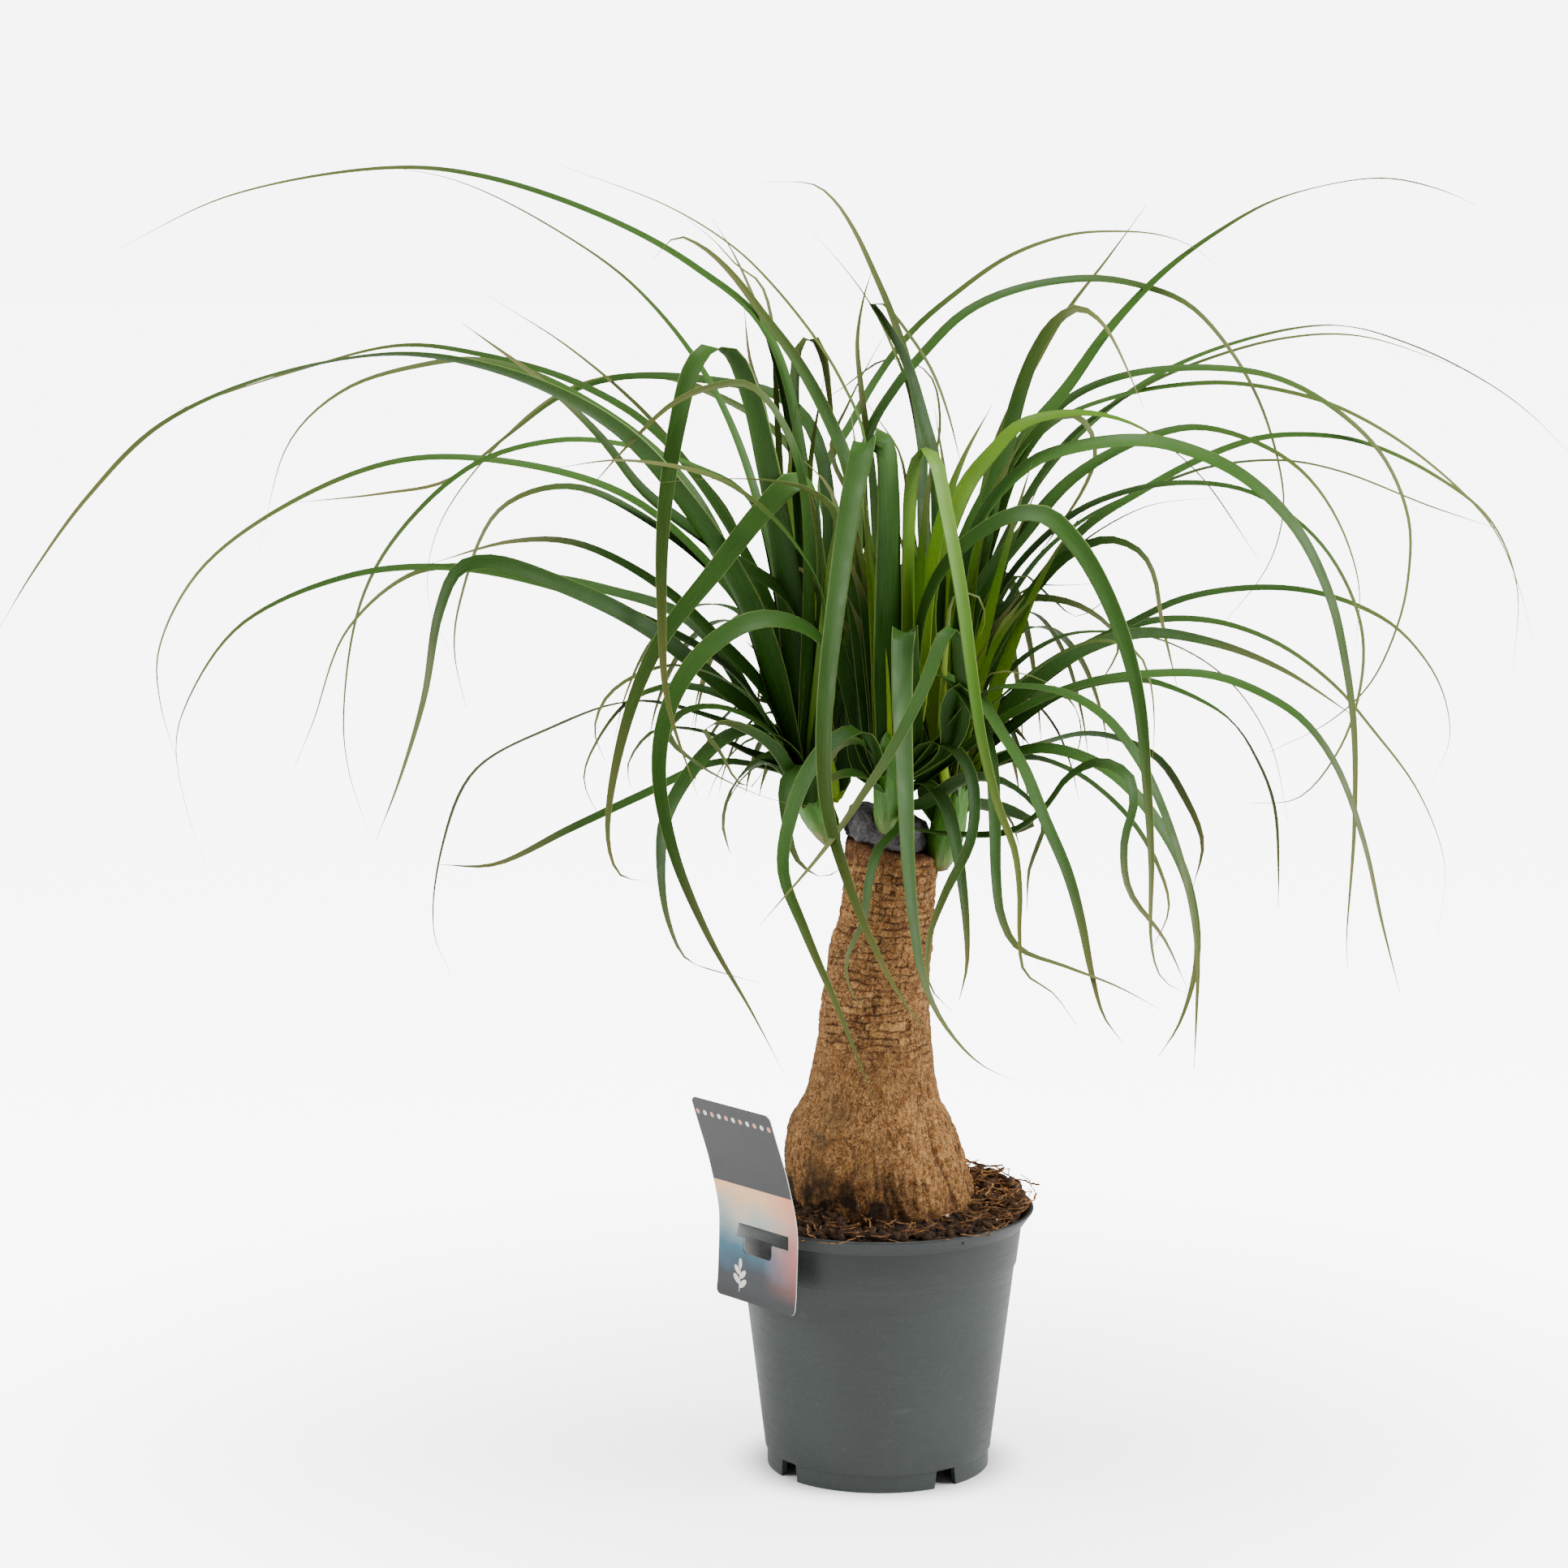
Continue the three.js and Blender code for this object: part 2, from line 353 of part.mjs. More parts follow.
function pot() {
  const { height, rim, wall, floor, foot, footHeight, stepHeight, flangeFoot, flangeHeight } = POT;
  const flange = height - flangeHeight;
  const profile = [
    [0, floor], [foot - 3.4, floor], [foot - 3.4, 0], [foot, 0], [foot, footHeight],
    [potOutside(footHeight), footHeight + 0.6], [potOutside(stepHeight), stepHeight],
    [potOutside(stepHeight + 0.1), stepHeight + 1], [potOutside(flange), flange],
    [flangeFoot + 0.6, flange + 0.2], [rim, height - 1], [rim - 0.4, height], [rim - wall, height],
    [flangeFoot - wall + 0.3, flange + 0.6], [potOutside(flange) - wall, flange - 1],
    [potOutside(stepHeight) - wall, stepHeight - 1], [potOutside(footHeight) - wall - 0.6, floor + wall],
    [0, floor + wall],
  ].map(([r, z]) => new THREE.Vector2(r, z));
  let body = solid(new THREE.LatheGeometry(profile, POT.sides).rotateX(Math.PI / 2));
  for (const angle of DRAIN.angles) {
    const outline = new THREE.Shape([[-DRAIN.width / 2, -1], [DRAIN.width / 2, -1],
      [DRAIN.top / 2, DRAIN.height], [-DRAIN.top / 2, DRAIN.height]].map(([x, y]) => new THREE.Vector2(x, y)));
    const notch = new THREE.ExtrudeGeometry(outline, { depth: 12, bevelEnabled: false });
    notch.rotateX(Math.PI / 2).translate(0, -foot + 8, 0).rotateZ(radians(angle + 90));
    body = body.subtract(solid(notch));
  }
  return body;
}

// ---------------------------------------------------------------- trunk and its sealed cut
/** How far the bark stands out: upright ribs on the bulb, fading into shallow rings up the neck. */
function bark(turn, z) {
  const low = THREE.MathUtils.smoothstep(255 - z, 0, 110);
  const ribs = 0.9 * Math.sin(7 * turn + 0.4) + 0.6 * Math.sin(12 * turn + z / 40);
  const rings = 0.5 * Math.sin(z / 3.1 + 1.4 * Math.sin(2 * turn));
  return low * ribs + (1 - low) * rings;
}

function trunkTop(x) {
  return TRUNK_TOP.level + TRUNK_TOP.slope * (x - TRUNK_TOP.centre);
}

function trunk(grow = 0) {
  const rings = TRUNK.map(([z, lean, radius], i) => ring(lean, 0, i ? z : z - grow, TRUNK_SIDES,
    (turn) => radius + bark(turn, z) + grow));
  const rim = ring(TRUNK_TOP.centre, 0, 0, TRUNK_SIDES, () => TRUNK_TOP.radius + grow);
  rim.forEach((point) => { point.z = trunkTop(point.x) + grow; });
  return solid(skin([...rings, rim]));
}

/** The dark wax over the sawn top: a low lumpy plug with a rounded edge. */
function cutCap(grow = 0) {
  const level = [[0, 0.98, GAP - grow], [0.35, 1, 0], [0.75, 0.86, 0], [1, 0.5, grow]];
  const rings = level.map(([part, wide, shift]) => {
    const circle = ring(CUT.centre, 0, 0, CUT.sides,
      (turn) => (CUT.radius + 1.1 * Math.sin(3 * turn) + 0.7 * Math.sin(5 * turn + 1)) * wide + grow);
    circle.forEach((point, j) => {
      const lump = 1.4 * Math.sin(1.9 * j) * part;
      point.z = trunkTop(point.x) + shift + (CUT.thick + lump) * part;
    });
    return circle;
  });
  return solid(skin(rings));
}

// ---------------------------------------------------------------- soil
/** Height of the peat: lumpy, a little banked up behind the trunk on the right. */
function soilTop(x, y) {
  const lumps = Math.sin(x / 7 + 1.3 * Math.sin(y / 9)) * Math.cos(y / 8 - 0.7 * Math.sin(x / 11));
  const bank = THREE.MathUtils.smoothstep(0.8 * y + 0.6 * x, 10, 60);
  return SOIL.level + SOIL.lump * lumps * 0.6 + SOIL.bank * bank;
}

function soil() {
  const { sides } = SOIL;
  const inside = (z) => potOutside(z) - POT.wall - 0.9 - GAP;
  const flange = POT.height - POT.flangeHeight;
  const under = [
    [POT.floor + POT.wall + GAP, inside(POT.footHeight)],
    [POT.stepHeight - 4, inside(POT.stepHeight - 4)],
    [flange - 2, inside(flange - 2)],
  ];
  const rings = under.map(([z, radius]) => ring(0, 0, z, sides, () => radius));
  for (const radius of [POT.rim - POT.wall - 3.4, 72, 62, 52, 30]) {
    const circle = ring(0, 0, 0, sides, () => radius);
    circle.forEach((point) => { point.z = soilTop(point.x, point.y); });
    rings.push(circle);
  }
  return filled(solid(skin(rings)).subtract(trunk(GAP)).subtract(card(GAP)));
}

// ---------------------------------------------------------------- card
/** Places a point given by its distance along the card, outward from the rim, and height. */
function onCard(along, out, z) {
  const turn = radians(CARD.azimuth);
  const reach = POT.rim + CARD.stand + out;
  return vec(reach * Math.cos(turn) - along * Math.sin(turn), reach * Math.sin(turn) + along * Math.cos(turn), z);
}

/** A bent strip of even thickness that follows [outward, height] points. */
function strip(width, thick, path) {
  const rings = path.map(([out, z], i) => {
    const [o0, z0] = path[Math.max(i - 1, 0)];
    const [o1, z1] = path[Math.min(i + 1, path.length - 1)];
    const length = Math.hypot(o1 - o0, z1 - z0);
    const side = [((z1 - z0) / length) * thick / 2, (-(o1 - o0) / length) * thick / 2];
    return [[-1, -1], [1, -1], [1, 1], [-1, 1]].map(([a, b]) => onCard(
      a * width / 2, out + b * side[0], z + b * side[1]));
  });
  return solid(skin(rings));
}

/** A straight cutter through the sheet: width and the two heights it spans. */
function opening(wide, low, high) {
  return strip(wide, 10 * CARD.thick, [[0, low], [0, high]]);
}

/** The outline of the sheet with rounded corners, as a deep block. */
function cardBlock() {
  const { width, foot, top, corner } = CARD;
  const edges = [-width / 2, width / 2];
  const outline = new THREE.Shape();
  outline.moveTo(edges[0] + corner, foot).lineTo(edges[1] - corner, foot);
  outline.absarc(edges[1] - corner, foot + corner, corner, -Math.PI / 2, 0);
  outline.lineTo(edges[1], top - corner);
  outline.absarc(edges[1] - corner, top - corner, corner, 0, Math.PI / 2);
  outline.lineTo(edges[0] + corner, top);
  outline.absarc(edges[0] + corner, top - corner, corner, Math.PI / 2, Math.PI);
  outline.lineTo(edges[0], foot + corner);
  outline.absarc(edges[0] + corner, foot + corner, corner, Math.PI, 1.5 * Math.PI);
  const [inner, outer] = [-10, 50];
  const block = new THREE.ExtrudeGeometry(outline, { depth: outer - inner, bevelEnabled: false, curveSegments: 3 });
  block.rotateX(Math.PI / 2).rotateZ(radians(CARD.azimuth + 90));
  const start = onCard(0, inner, 0);
  return solid(block.translate(start.x, start.y, 0));
}

/** The card: an S-bent sheet with a window for the flange, and the tongue that hooks inside the rim. */
function card(grow = 0) {
  const last = CARD.hook.length - 1;
  const hook = CARD.hook.map(([out, z], i) => [out, i === last ? z - grow : z]);
  const tongue = strip(CARD.tongue + 2 * grow, CARD.thick + 2 * grow, hook);
  if (grow) {
    return tongue;
  }
  return strip(CARD.width + 2, CARD.thick, CARD.bend)
    .intersect(cardBlock())
    .subtract(opening(...CARD.window))
    .subtract(opening(...CARD.tab))
    .add(tongue);
}

// ---------------------------------------------------------------- leaves
/** The point at a given depth that is seen at (across, up). */
function seenAt(across, up, depth) {
  const away = (EYE.away + depth) / EYE.away;
  return vec(EYE.across + (across - EYE.across) * away, depth, EYE.up + (up - EYE.up) * away);
}

/** A point inside a head's shoot: upright leaves start high in its heart, low ones on its flank. */
function rootPoint(head, towards) {
  const base = vec(...head.base);
  const lean = vec(...head.lean).normalize();
  const heading = towards.clone().sub(base);
  const upright = THREE.MathUtils.clamp(heading.z / heading.length(), 0, 1) ** 2;
  const root = base.addScaledVector(lean, lerp(...SHOOT.root, upright));
  const out = vec(heading.x, heading.y, 0).normalize();
  return root.addScaledVector(out, head.girth * lerp(...SHOOT.spread, upright));
}

/** The 3D course of a traced leaf. Its depth runs smoothly from its root, by its middle, to its tip. */
function tracedCourse(head, middle, tip, trace) {
  const start = [head.base[0], head.base[2] + SHOOT.heart];
  const along = [];
  let length = 0;
  trace.forEach(([x, z], i) => {
    const [px, pz] = i ? trace[i - 1] : start;
    length += Math.hypot(x - px, z - pz);
    along.push(length);
  });
  const rootDepth = head.base[1];
  const pull = 2 * middle - (rootDepth + tip) / 2;
  const points = trace.map(([x, z], i) => {
    const s = along[i] / length;
    return seenAt(x, z, rootDepth * (1 - s) ** 2 + 2 * pull * s * (1 - s) + tip * s * s);
  });
  return [rootPoint(head, points[1]), ...points];
}

/** The course of a leaf that rises, arches over and hangs down along one heading. */
function archCourse(head, heading, reach, crest) {
  const dx = Math.cos(radians(heading));
  const dy = Math.sin(radians(heading));
  const rise = crest - head.base[2];
  const stops = [[0.07, 0.4], [0.2, 0.76], [0.42, 0.98], [0.62, 0.97], [0.82, 0.78], [0.95, 0.5], [1, 0.3]];
  const points = stops.map(([out, up]) => vec(
    head.base[0] + dx * reach * out, head.base[1] + dy * reach * out, head.base[2] + rise * up));
  return [rootPoint(head, points[1]), ...points];
}

/** Places on a curve, closer together where it bends: its parameter and the share of its length. */
function stations(curve) {
  const { samples, stride, straight, spans } = LEAF;
  const lengths = curve.getLengths(samples);
  const measure = [0];
  let turning = 0;
  for (let i = 1; i <= samples; i++) {
    const bend = curve.getTangent((i - 1) / samples).angleTo(curve.getTangent(i / samples));
    turning += bend;
    measure.push(measure[i - 1] + bend + straight / samples);
  }
  const count = THREE.MathUtils.clamp(Math.round(spans[0] / 2 + turning / radians(stride)), ...spans);
  return Array.from({ length: count + 1 }, (_, k) => {
    const wanted = (k / count) * measure[samples];
    const i = Math.max(1, measure.findIndex((m) => m >= wanted - 1e-9));
    const part = (wanted - measure[i - 1]) / (measure[i] - measure[i - 1]);
    return [(i - 1 + part) / samples, lerp(lengths[i - 1], lengths[i], part) / lengths[samples]];
  });
}

/** A strap blade along a course: a flat top between two thin edges, and a keel under its midline. */
function blade(points, width, rollBase, rollMiddle, rollTip) {
  const curve = new THREE.CatmullRomCurve3(points, false, "centripetal");
  const start = points[0];
  const far = points.reduce((best, p) => (Math.hypot(p.x - start.x, p.y - start.y)
    > Math.hypot(best.x - start.x, best.y - start.y) ? p : best), points[1]);
  const level = vec(-(far.y - start.y), far.x - start.x, 0).normalize();
  const rings = stations(curve).map(([u, s]) => {
    const centre = curve.getPoint(u);
    const along = curve.getTangent(u);
    const roll = rollBase * (2 * s - 1) * (s - 1) + rollMiddle * 4 * s * (1 - s) + rollTip * s * (2 * s - 1);
    const side = level.clone().addScaledVector(along, -level.dot(along)).normalize();
    side.applyAxisAngle(along, radians(roll));
    const up = along.clone().cross(side).normalize();
    const full = width * (1 - s ** LEAF.taper) * Math.min(1, LEAF.clasp + LEAF.clear * s);
    const half = Math.max(full, LEAF.tipWidth) / 2;
    return [
      centre.clone().addScaledVector(side, half),
      centre.clone().addScaledVector(side, -half),
      centre.clone().addScaledVector(up, -lerp(LEAF.keel, LEAF.tipKeel, s)),
    ];
  });
  return solid(skin(rings, true));
}

/** The green swollen base of a head, with the packed young leaves in its heart as one tapered core. */
function shoot(head) {
  const lean = vec(...head.lean).normalize();
  const rings = SHOOT.rings.map(([height, girth]) => {
    const centre = vec(...head.base).addScaledVector(lean, height);
    return ring(centre.x, centre.y, centre.z, SHOOT.sides, () => head.girth * girth);
  });
  return solid(skin(rings));
}

function leafyHead(name, rows) {
  const head = HEADS[name];
  const base = shoot(head).subtract(trunk(GAP)).subtract(cutCap(GAP));
  const leaves = rows.map(([width, middle, tip, rollBase, rollMiddle, rollTip, trace]) => blade(
    tracedCourse(head, middle, tip, trace), width, rollBase, rollMiddle, rollTip));
  const draw = draws(SEED);
  for (const rule of HIDDEN_LEAVES) {
    for (let i = 0; i < rule.count; i++) {
      const heading = lerp(...rule.headings, (i + 0.2 + 0.6 * draw()) / rule.count);
      const reach = lerp(...rule.reach, draw());
      const crest = lerp(...rule.crest, draw());
      const width = lerp(...rule.width, draw());
      if (rule.head === name) {
        leaves.push(blade(archCourse(head, heading, reach, crest), width, 0, 0, 0));
      }
    }
  }
  return filled(wasm.Manifold.union([base, ...leaves]));
}

// ---------------------------------------------------------------- assembly
const PAINT = {
  pot: [0x565b5b, 0.45], soil: [0x2b1d14, 0.95], trunk: [0x8a6038, 0.9], cut_cap: [0x2e2b2a, 0.55],
  left_head: [0x3d6b2a, 0.5], middle_head: [0x4c7a30, 0.5], right_head: [0x356326, 0.5], label: [0xd8b79a, 0.4],
};
const SOLIDS = {
  pot, soil, trunk, cut_cap: cutCap,
  left_head: () => leafyHead("left", LEFT_LEAVES),
  middle_head: () => leafyHead("middle", MIDDLE_LEAVES),
  right_head: () => leafyHead("right", RIGHT_LEAVES),
  label: card,
};

const group = new THREE.Group();
for (const [name, make] of Object.entries(SOLIDS)) {
  const [color, roughness] = PAINT[name];
  const mesh = new THREE.Mesh(surface(make()), new THREE.MeshStandardMaterial({ color, roughness, metalness: 0 }));
  mesh.name = name;
  group.add(mesh);
}

export default group;
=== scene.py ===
# %% [markdown]
# # A potted ponytail palm
# The plant is a swollen woody trunk with a sawn, wax-sealed top and three leafy heads. It stands in
# a grey nursery pot full of peat, with a card hooked over the rim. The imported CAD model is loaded
# as a fixed frame, in metres. Every piece below is modelled in that frame, so nothing is moved to fit.

# %% Load the frame
import math
import random
import bmesh
import bpy
import numpy as np
from mathutils import Matrix, Vector, noise


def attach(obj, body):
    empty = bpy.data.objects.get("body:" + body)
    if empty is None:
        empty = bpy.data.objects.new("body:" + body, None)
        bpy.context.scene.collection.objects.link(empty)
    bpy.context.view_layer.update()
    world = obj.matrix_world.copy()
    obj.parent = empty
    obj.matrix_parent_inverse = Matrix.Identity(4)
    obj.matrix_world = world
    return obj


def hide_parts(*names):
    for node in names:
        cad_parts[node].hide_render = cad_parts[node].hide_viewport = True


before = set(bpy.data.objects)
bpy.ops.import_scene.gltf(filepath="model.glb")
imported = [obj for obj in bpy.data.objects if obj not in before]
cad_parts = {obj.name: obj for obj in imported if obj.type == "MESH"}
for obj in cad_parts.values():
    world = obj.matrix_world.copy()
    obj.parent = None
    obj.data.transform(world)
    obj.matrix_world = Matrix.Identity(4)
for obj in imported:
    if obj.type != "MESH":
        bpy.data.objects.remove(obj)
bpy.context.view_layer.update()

MM = 0.001

# %% [markdown]
# ## Camera
# The photograph was taken from well in front and a little above, with a long lens, so uprights stay
# nearly parallel. The camera comes first, because the leaf courses are described as seen from it.

# %% Camera
EYE = Vector((-52.5, -2400.0, 747.0))      # millimetres
CAMERA_TILT = math.radians(90 - 8.63)
LENS = 101.85
SENSOR = 36.0

camera_data = bpy.data.cameras.new("camera")
camera_data.lens = LENS
camera_data.sensor_width = SENSOR
camera = bpy.data.objects.new("camera", camera_data)
camera.location = EYE * MM
camera.rotation_euler = (CAMERA_TILT, 0, 0)
bpy.context.scene.collection.objects.link(camera)
bpy.context.scene.camera = camera
print("camera", round(-camera.location.y, 2), "m in front of the pot")

# %% [markdown]
# ## Small helpers
# A shader or geometry tree built in a script reads best when each node takes one call. `add_node`
# places a node, sets its options, and either links or fills its sockets.

# %% Node helpers
PLAIN_SOCKETS = dict(roughness="Roughness", specular="Specular IOR Level", coat="Coat Weight",
                     coat_roughness="Coat Roughness")


def srgb(red, green, blue, alpha=1.0):
    """A colour given as 0-255 screen values, in the linear values that shaders take."""
    linear = [((v / 255 + 0.055) / 1.055) ** 2.4 if v > 10 else v / 255 / 12.92 for v in (red, green, blue)]
    return (*linear, alpha)


def add_node(tree, kind, inputs=None, **settings):
    """A new node. inputs maps socket names or numbers to a value, or to the socket that feeds it."""
    made = tree.nodes.new(kind)
    for key, value in settings.items():
        setattr(made, key, value)
    for key, value in (inputs or {}).items():
        if isinstance(value, bpy.types.NodeSocket):
            tree.links.new(value, made.inputs[key])
        else:
            made.inputs[key].default_value = value
    return made


def mix_values(tree, factor, first, second):
    """The second value blended over the first by a factor."""
    return add_node(tree, "ShaderNodeMix", {0: factor, 2: first, 3: second}, data_type="FLOAT").outputs[0]


def maths(tree, operation, *values):
    """A Math node's result."""
    return add_node(tree, "ShaderNodeMath", dict(enumerate(values)), operation=operation).outputs[0]


def vector_maths(tree, operation, *values):
    """A Vector Math node's vector."""
    return add_node(tree, "ShaderNodeVectorMath", dict(enumerate(values)), operation=operation).outputs[0]


def axes(tree, vector):
    """A vector's X, Y and Z."""
    return add_node(tree, "ShaderNodeSeparateXYZ", {0: vector}).outputs


def blend_colours(tree, factor, first, second, mode="MIX"):
    """The second colour laid over the first by a factor."""
    mix = add_node(tree, "ShaderNodeMix", {0: factor, 6: first, 7: second}, data_type="RGBA", blend_type=mode)
    return mix.outputs[2]


def ramp(tree, factor, stops, interpolation="LINEAR"):
    """A colour ramp from (place, colour) stops."""
    made = add_node(tree, "ShaderNodeValToRGB", {0: factor})
    made.color_ramp.interpolation = interpolation
    elements = made.color_ramp.elements
    for spot, (place, colour) in enumerate(stops):
        element = elements[spot] if spot < 2 else elements.new(place)
        element.position = place
        element.color = colour if hasattr(colour, "__len__") else (colour, colour, colour, 1)
    return made.outputs[0]


def material(name, **plain):
    """A new material, its tree and its Principled shader, with plain numbers set on the shader."""
    made = bpy.data.materials.new(name)
    made.use_nodes = True
    shader = made.node_tree.nodes["Principled BSDF"]
    for key, value in plain.items():
        shader.inputs[PLAIN_SOCKETS[key]].default_value = value
    return made, made.node_tree, shader


def attribute(tree, name, output="Fac"):
    """A value stored on the mesh."""
    return add_node(tree, "ShaderNodeAttribute", attribute_name=name).outputs[output]


def object_place(tree):
    """Object coordinates, which are metres in the shared frame."""
    return add_node(tree, "ShaderNodeTexCoord").outputs["Object"]


def divided(tree, vector, size):
    """A place divided by the size that a group is given."""
    return add_node(tree, "ShaderNodeVectorMath", {0: vector, "Scale": maths(tree, "DIVIDE", 1.0, size)},
                    operation="SCALE").outputs[0]


def cloud_value(tree, vector, detail, scale=1.0, roughness=0.5):
    """Noise of a place that is already scaled."""
    return add_node(tree, "ShaderNodeTexNoise", {"Vector": vector, "Scale": scale, "Detail": detail,
                                                 "Roughness": roughness}).outputs["Fac"]


def noise_value(tree, vector, size, detail=3.0, roughness=0.5, stretch=(1, 1, 1)):
    """Noise with features of about size metres, stretched along the axes."""
    scaled = vector_maths(tree, "MULTIPLY", vector, tuple(1 / (size * s) for s in stretch))
    return cloud_value(tree, scaled, detail, roughness=roughness)


def bump(tree, height, distance, strength=1.0, normal=None):
    """A bump normal from a height between 0 and 1 and its depth in metres."""
    inputs = {"Height": height, "Distance": distance, "Strength": strength}
    if normal is not None:
        inputs["Normal"] = normal
    return add_node(tree, "ShaderNodeBump", inputs).outputs["Normal"]


PLACE, NUMBER, COLOUR = "NodeSocketVector", "NodeSocketFloat", "NodeSocketColor"


def shader_group(name, inputs, outputs):
    """An empty shader group: (name, kind, default) inputs and (name, kind) outputs."""
    tree = bpy.data.node_groups.new(name, "ShaderNodeTree")
    for label, kind, default in inputs:
        socket = tree.interface.new_socket(label, in_out="INPUT", socket_type=kind)
        if default is not None:
            socket.default_value = default
    for label, kind in outputs:
        tree.interface.new_socket(label, in_out="OUTPUT", socket_type=kind)
    return tree, tree.nodes.new("NodeGroupInput").outputs, tree.nodes.new("NodeGroupOutput").inputs


def use_group(tree, group, inputs):
    """A shader group placed in a tree with its own values."""
    placed = tree.nodes.new("ShaderNodeGroup")
    placed.node_tree = group
    for key, value in inputs.items():
        if isinstance(value, bpy.types.NodeSocket):
            tree.links.new(value, placed.inputs[key])
        else:
            placed.inputs[key].default_value = value
    return placed.outputs


print("helpers ready")

# %% Mesh helpers
def piece(name, mesh, finish, node=None):
    """Links a finished mesh as a piece of the plant: it rides on the one body and takes its slot."""
    obj = bpy.data.objects.new(name, mesh)
    mesh.materials.clear()
    mesh.materials.append(finish)
    bpy.context.scene.collection.objects.link(obj)
    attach(obj, "root")
    if node:
        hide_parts(node)
    print(name, len(mesh.polygons), "faces")
    return obj


def mesh_from(name, points, faces, smooth=True):
    """A mesh from points in millimetres, its normals turned outwards."""
    mesh = bpy.data.meshes.new(name)
    mesh.from_pydata([tuple(v * MM for v in p) for p in points], [], faces)
    work = bmesh.new()
    work.from_mesh(mesh)
    bmesh.ops.recalc_face_normals(work, faces=work.faces)
    work.to_mesh(mesh)
    work.free()
    mesh.polygons.foreach_set("use_smooth", [smooth] * len(mesh.polygons))
    return mesh


def ring_faces(rows, columns):
    """Quads between closed rings of points, row by row."""
    return [(r * columns + c, r * columns + (c + 1) % columns, (r + 1) * columns + (c + 1) % columns,
             (r + 1) * columns + c) for r in range(rows - 1) for c in range(columns)]


def lathe(profile, columns):
    """A profile of (radius, height) turned about Z. It starts and ends on the axis."""
    points = [(0, 0, profile[0][1])]
    for radius, height in profile[1:-1]:
        for c in range(columns):
            turn = 2 * math.pi * c / columns
            points.append((radius * math.cos(turn), radius * math.sin(turn), height))
    points.append((0, 0, profile[-1][1]))
    rows = len(profile) - 2
    faces = [tuple(i + 1 for i in quad) for quad in ring_faces(rows, columns)]
    last = len(points) - 1
    faces += [(0, 1 + (c + 1) % columns, 1 + c) for c in range(columns)]
    faces += [(last, last - columns + c, last - columns + (c + 1) % columns) for c in range(columns)]
    return points, faces


def store(mesh, name, values, kind="FLOAT"):
    """Stores one value a point on the mesh."""
    held = mesh.attributes.new(name, kind, "POINT")
    field = {"FLOAT": "value", "FLOAT_VECTOR": "vector"}[kind]
    held.data.foreach_set(field, np.asarray(values, dtype=np.float32).ravel())


def along_heading(turn, reach, side):
    """x and y of a point that lies reach out along a heading and side to its left."""
    return reach * math.cos(turn) - side * math.sin(turn), reach * math.sin(turn) + side * math.cos(turn)


def smoothstep(value, low, high):
    """0 below low, 1 above high, and a smooth rise between."""
    part = min(max((value - low) / (high - low), 0.0), 1.0)
    return part * part * (3 - 2 * part)


print("mesh helpers ready")

# %% [markdown]
# ## Shared effects
# Three effects are shared: soft patches of another tone, worn scuffs, and crooked cracks with a pale
# lip. Each is one shader group with named sockets. Its own values reach every finish that uses it.

# %% Shader groups
def make_mottle():
    """Soft patches: a colour moved between two others by noise of a named size."""
    tree, given, out = shader_group("mottle", [
        ("Place", PLACE, None), ("Size", NUMBER, 0.02), ("Dark", COLOUR, None), ("Light", COLOUR, None),
        ("Sharpness", NUMBER, 2.0)], [("Colour", COLOUR), ("Mask", NUMBER)])
    cloud = cloud_value(tree, divided(tree, given["Place"], given["Size"]), 4.0)
    centred = maths(tree, "SUBTRACT", cloud, 0.5)
    mask = add_node(tree, "ShaderNodeMath", {0: maths(tree, "MULTIPLY", centred, given["Sharpness"]), 1: 0.5},
                    operation="ADD", use_clamp=True).outputs[0]
    tree.links.new(blend_colours(tree, mask, given["Dark"], given["Light"]), out["Colour"])
    tree.links.new(mask, out["Mask"])
    return tree


def make_scuffs():
    """Thin pale rubs: long stretched noise, cut off high so that only a few streaks are left."""
    tree, given, out = shader_group("scuffs", [
        ("Place", PLACE, None), ("Size", NUMBER, 0.01), ("Amount", NUMBER, 0.3)], [("Mask", NUMBER)])
    scaled = divided(tree, given["Place"], given["Size"])
    turned = add_node(tree, "ShaderNodeMapping", {"Vector": scaled, "Rotation": (0.5, 0.3, 0.9),
                                                  "Scale": (0.35, 4.0, 2.0)}).outputs[0]
    streaks = ramp(tree, cloud_value(tree, turned, 5.0), [(0.6, 0.0), (0.72, 1.0)])
    patches = ramp(tree, cloud_value(tree, scaled, 2.0, scale=0.35), [(0.5, 0.0), (0.6, 1.0)])
    high = maths(tree, "MULTIPLY", streaks, patches)
    tree.links.new(maths(tree, "MULTIPLY", high, given["Amount"]), out["Mask"])
    return tree


def make_crinkle():
    """Crooked cracks, each with a pale lip, where noise crosses its mean. Upright stretches them along Z."""
    tree, given, out = shader_group("crinkle", [
        ("Place", PLACE, None), ("Size", NUMBER, 0.003), ("Upright", NUMBER, 1.0)],
        [("Crack", NUMBER), ("Lip", NUMBER)])
    squash = maths(tree, "DIVIDE", 1.0, given["Upright"])
    shape = add_node(tree, "ShaderNodeCombineXYZ", {"X": 1.0, "Y": 1.0, "Z": squash}).outputs[0]
    flat = vector_maths(tree, "MULTIPLY", given["Place"], shape)
    cloud = cloud_value(tree, divided(tree, flat, given["Size"]), 4.0, roughness=0.6)
    tree.links.new(ramp(tree, cloud, [(0.47, 0.0), (0.488, 1.0), (0.502, 1.0), (0.512, 0.0)]), out["Crack"])
    # The pale lip is partly the bark's pale flake edge and partly a painted highlight, where a raised edge catches
    # the light.
    tree.links.new(ramp(tree, cloud, [(0.51, 0.0), (0.532, 1.0), (0.565, 0.0)]), out["Lip"])
    return tree


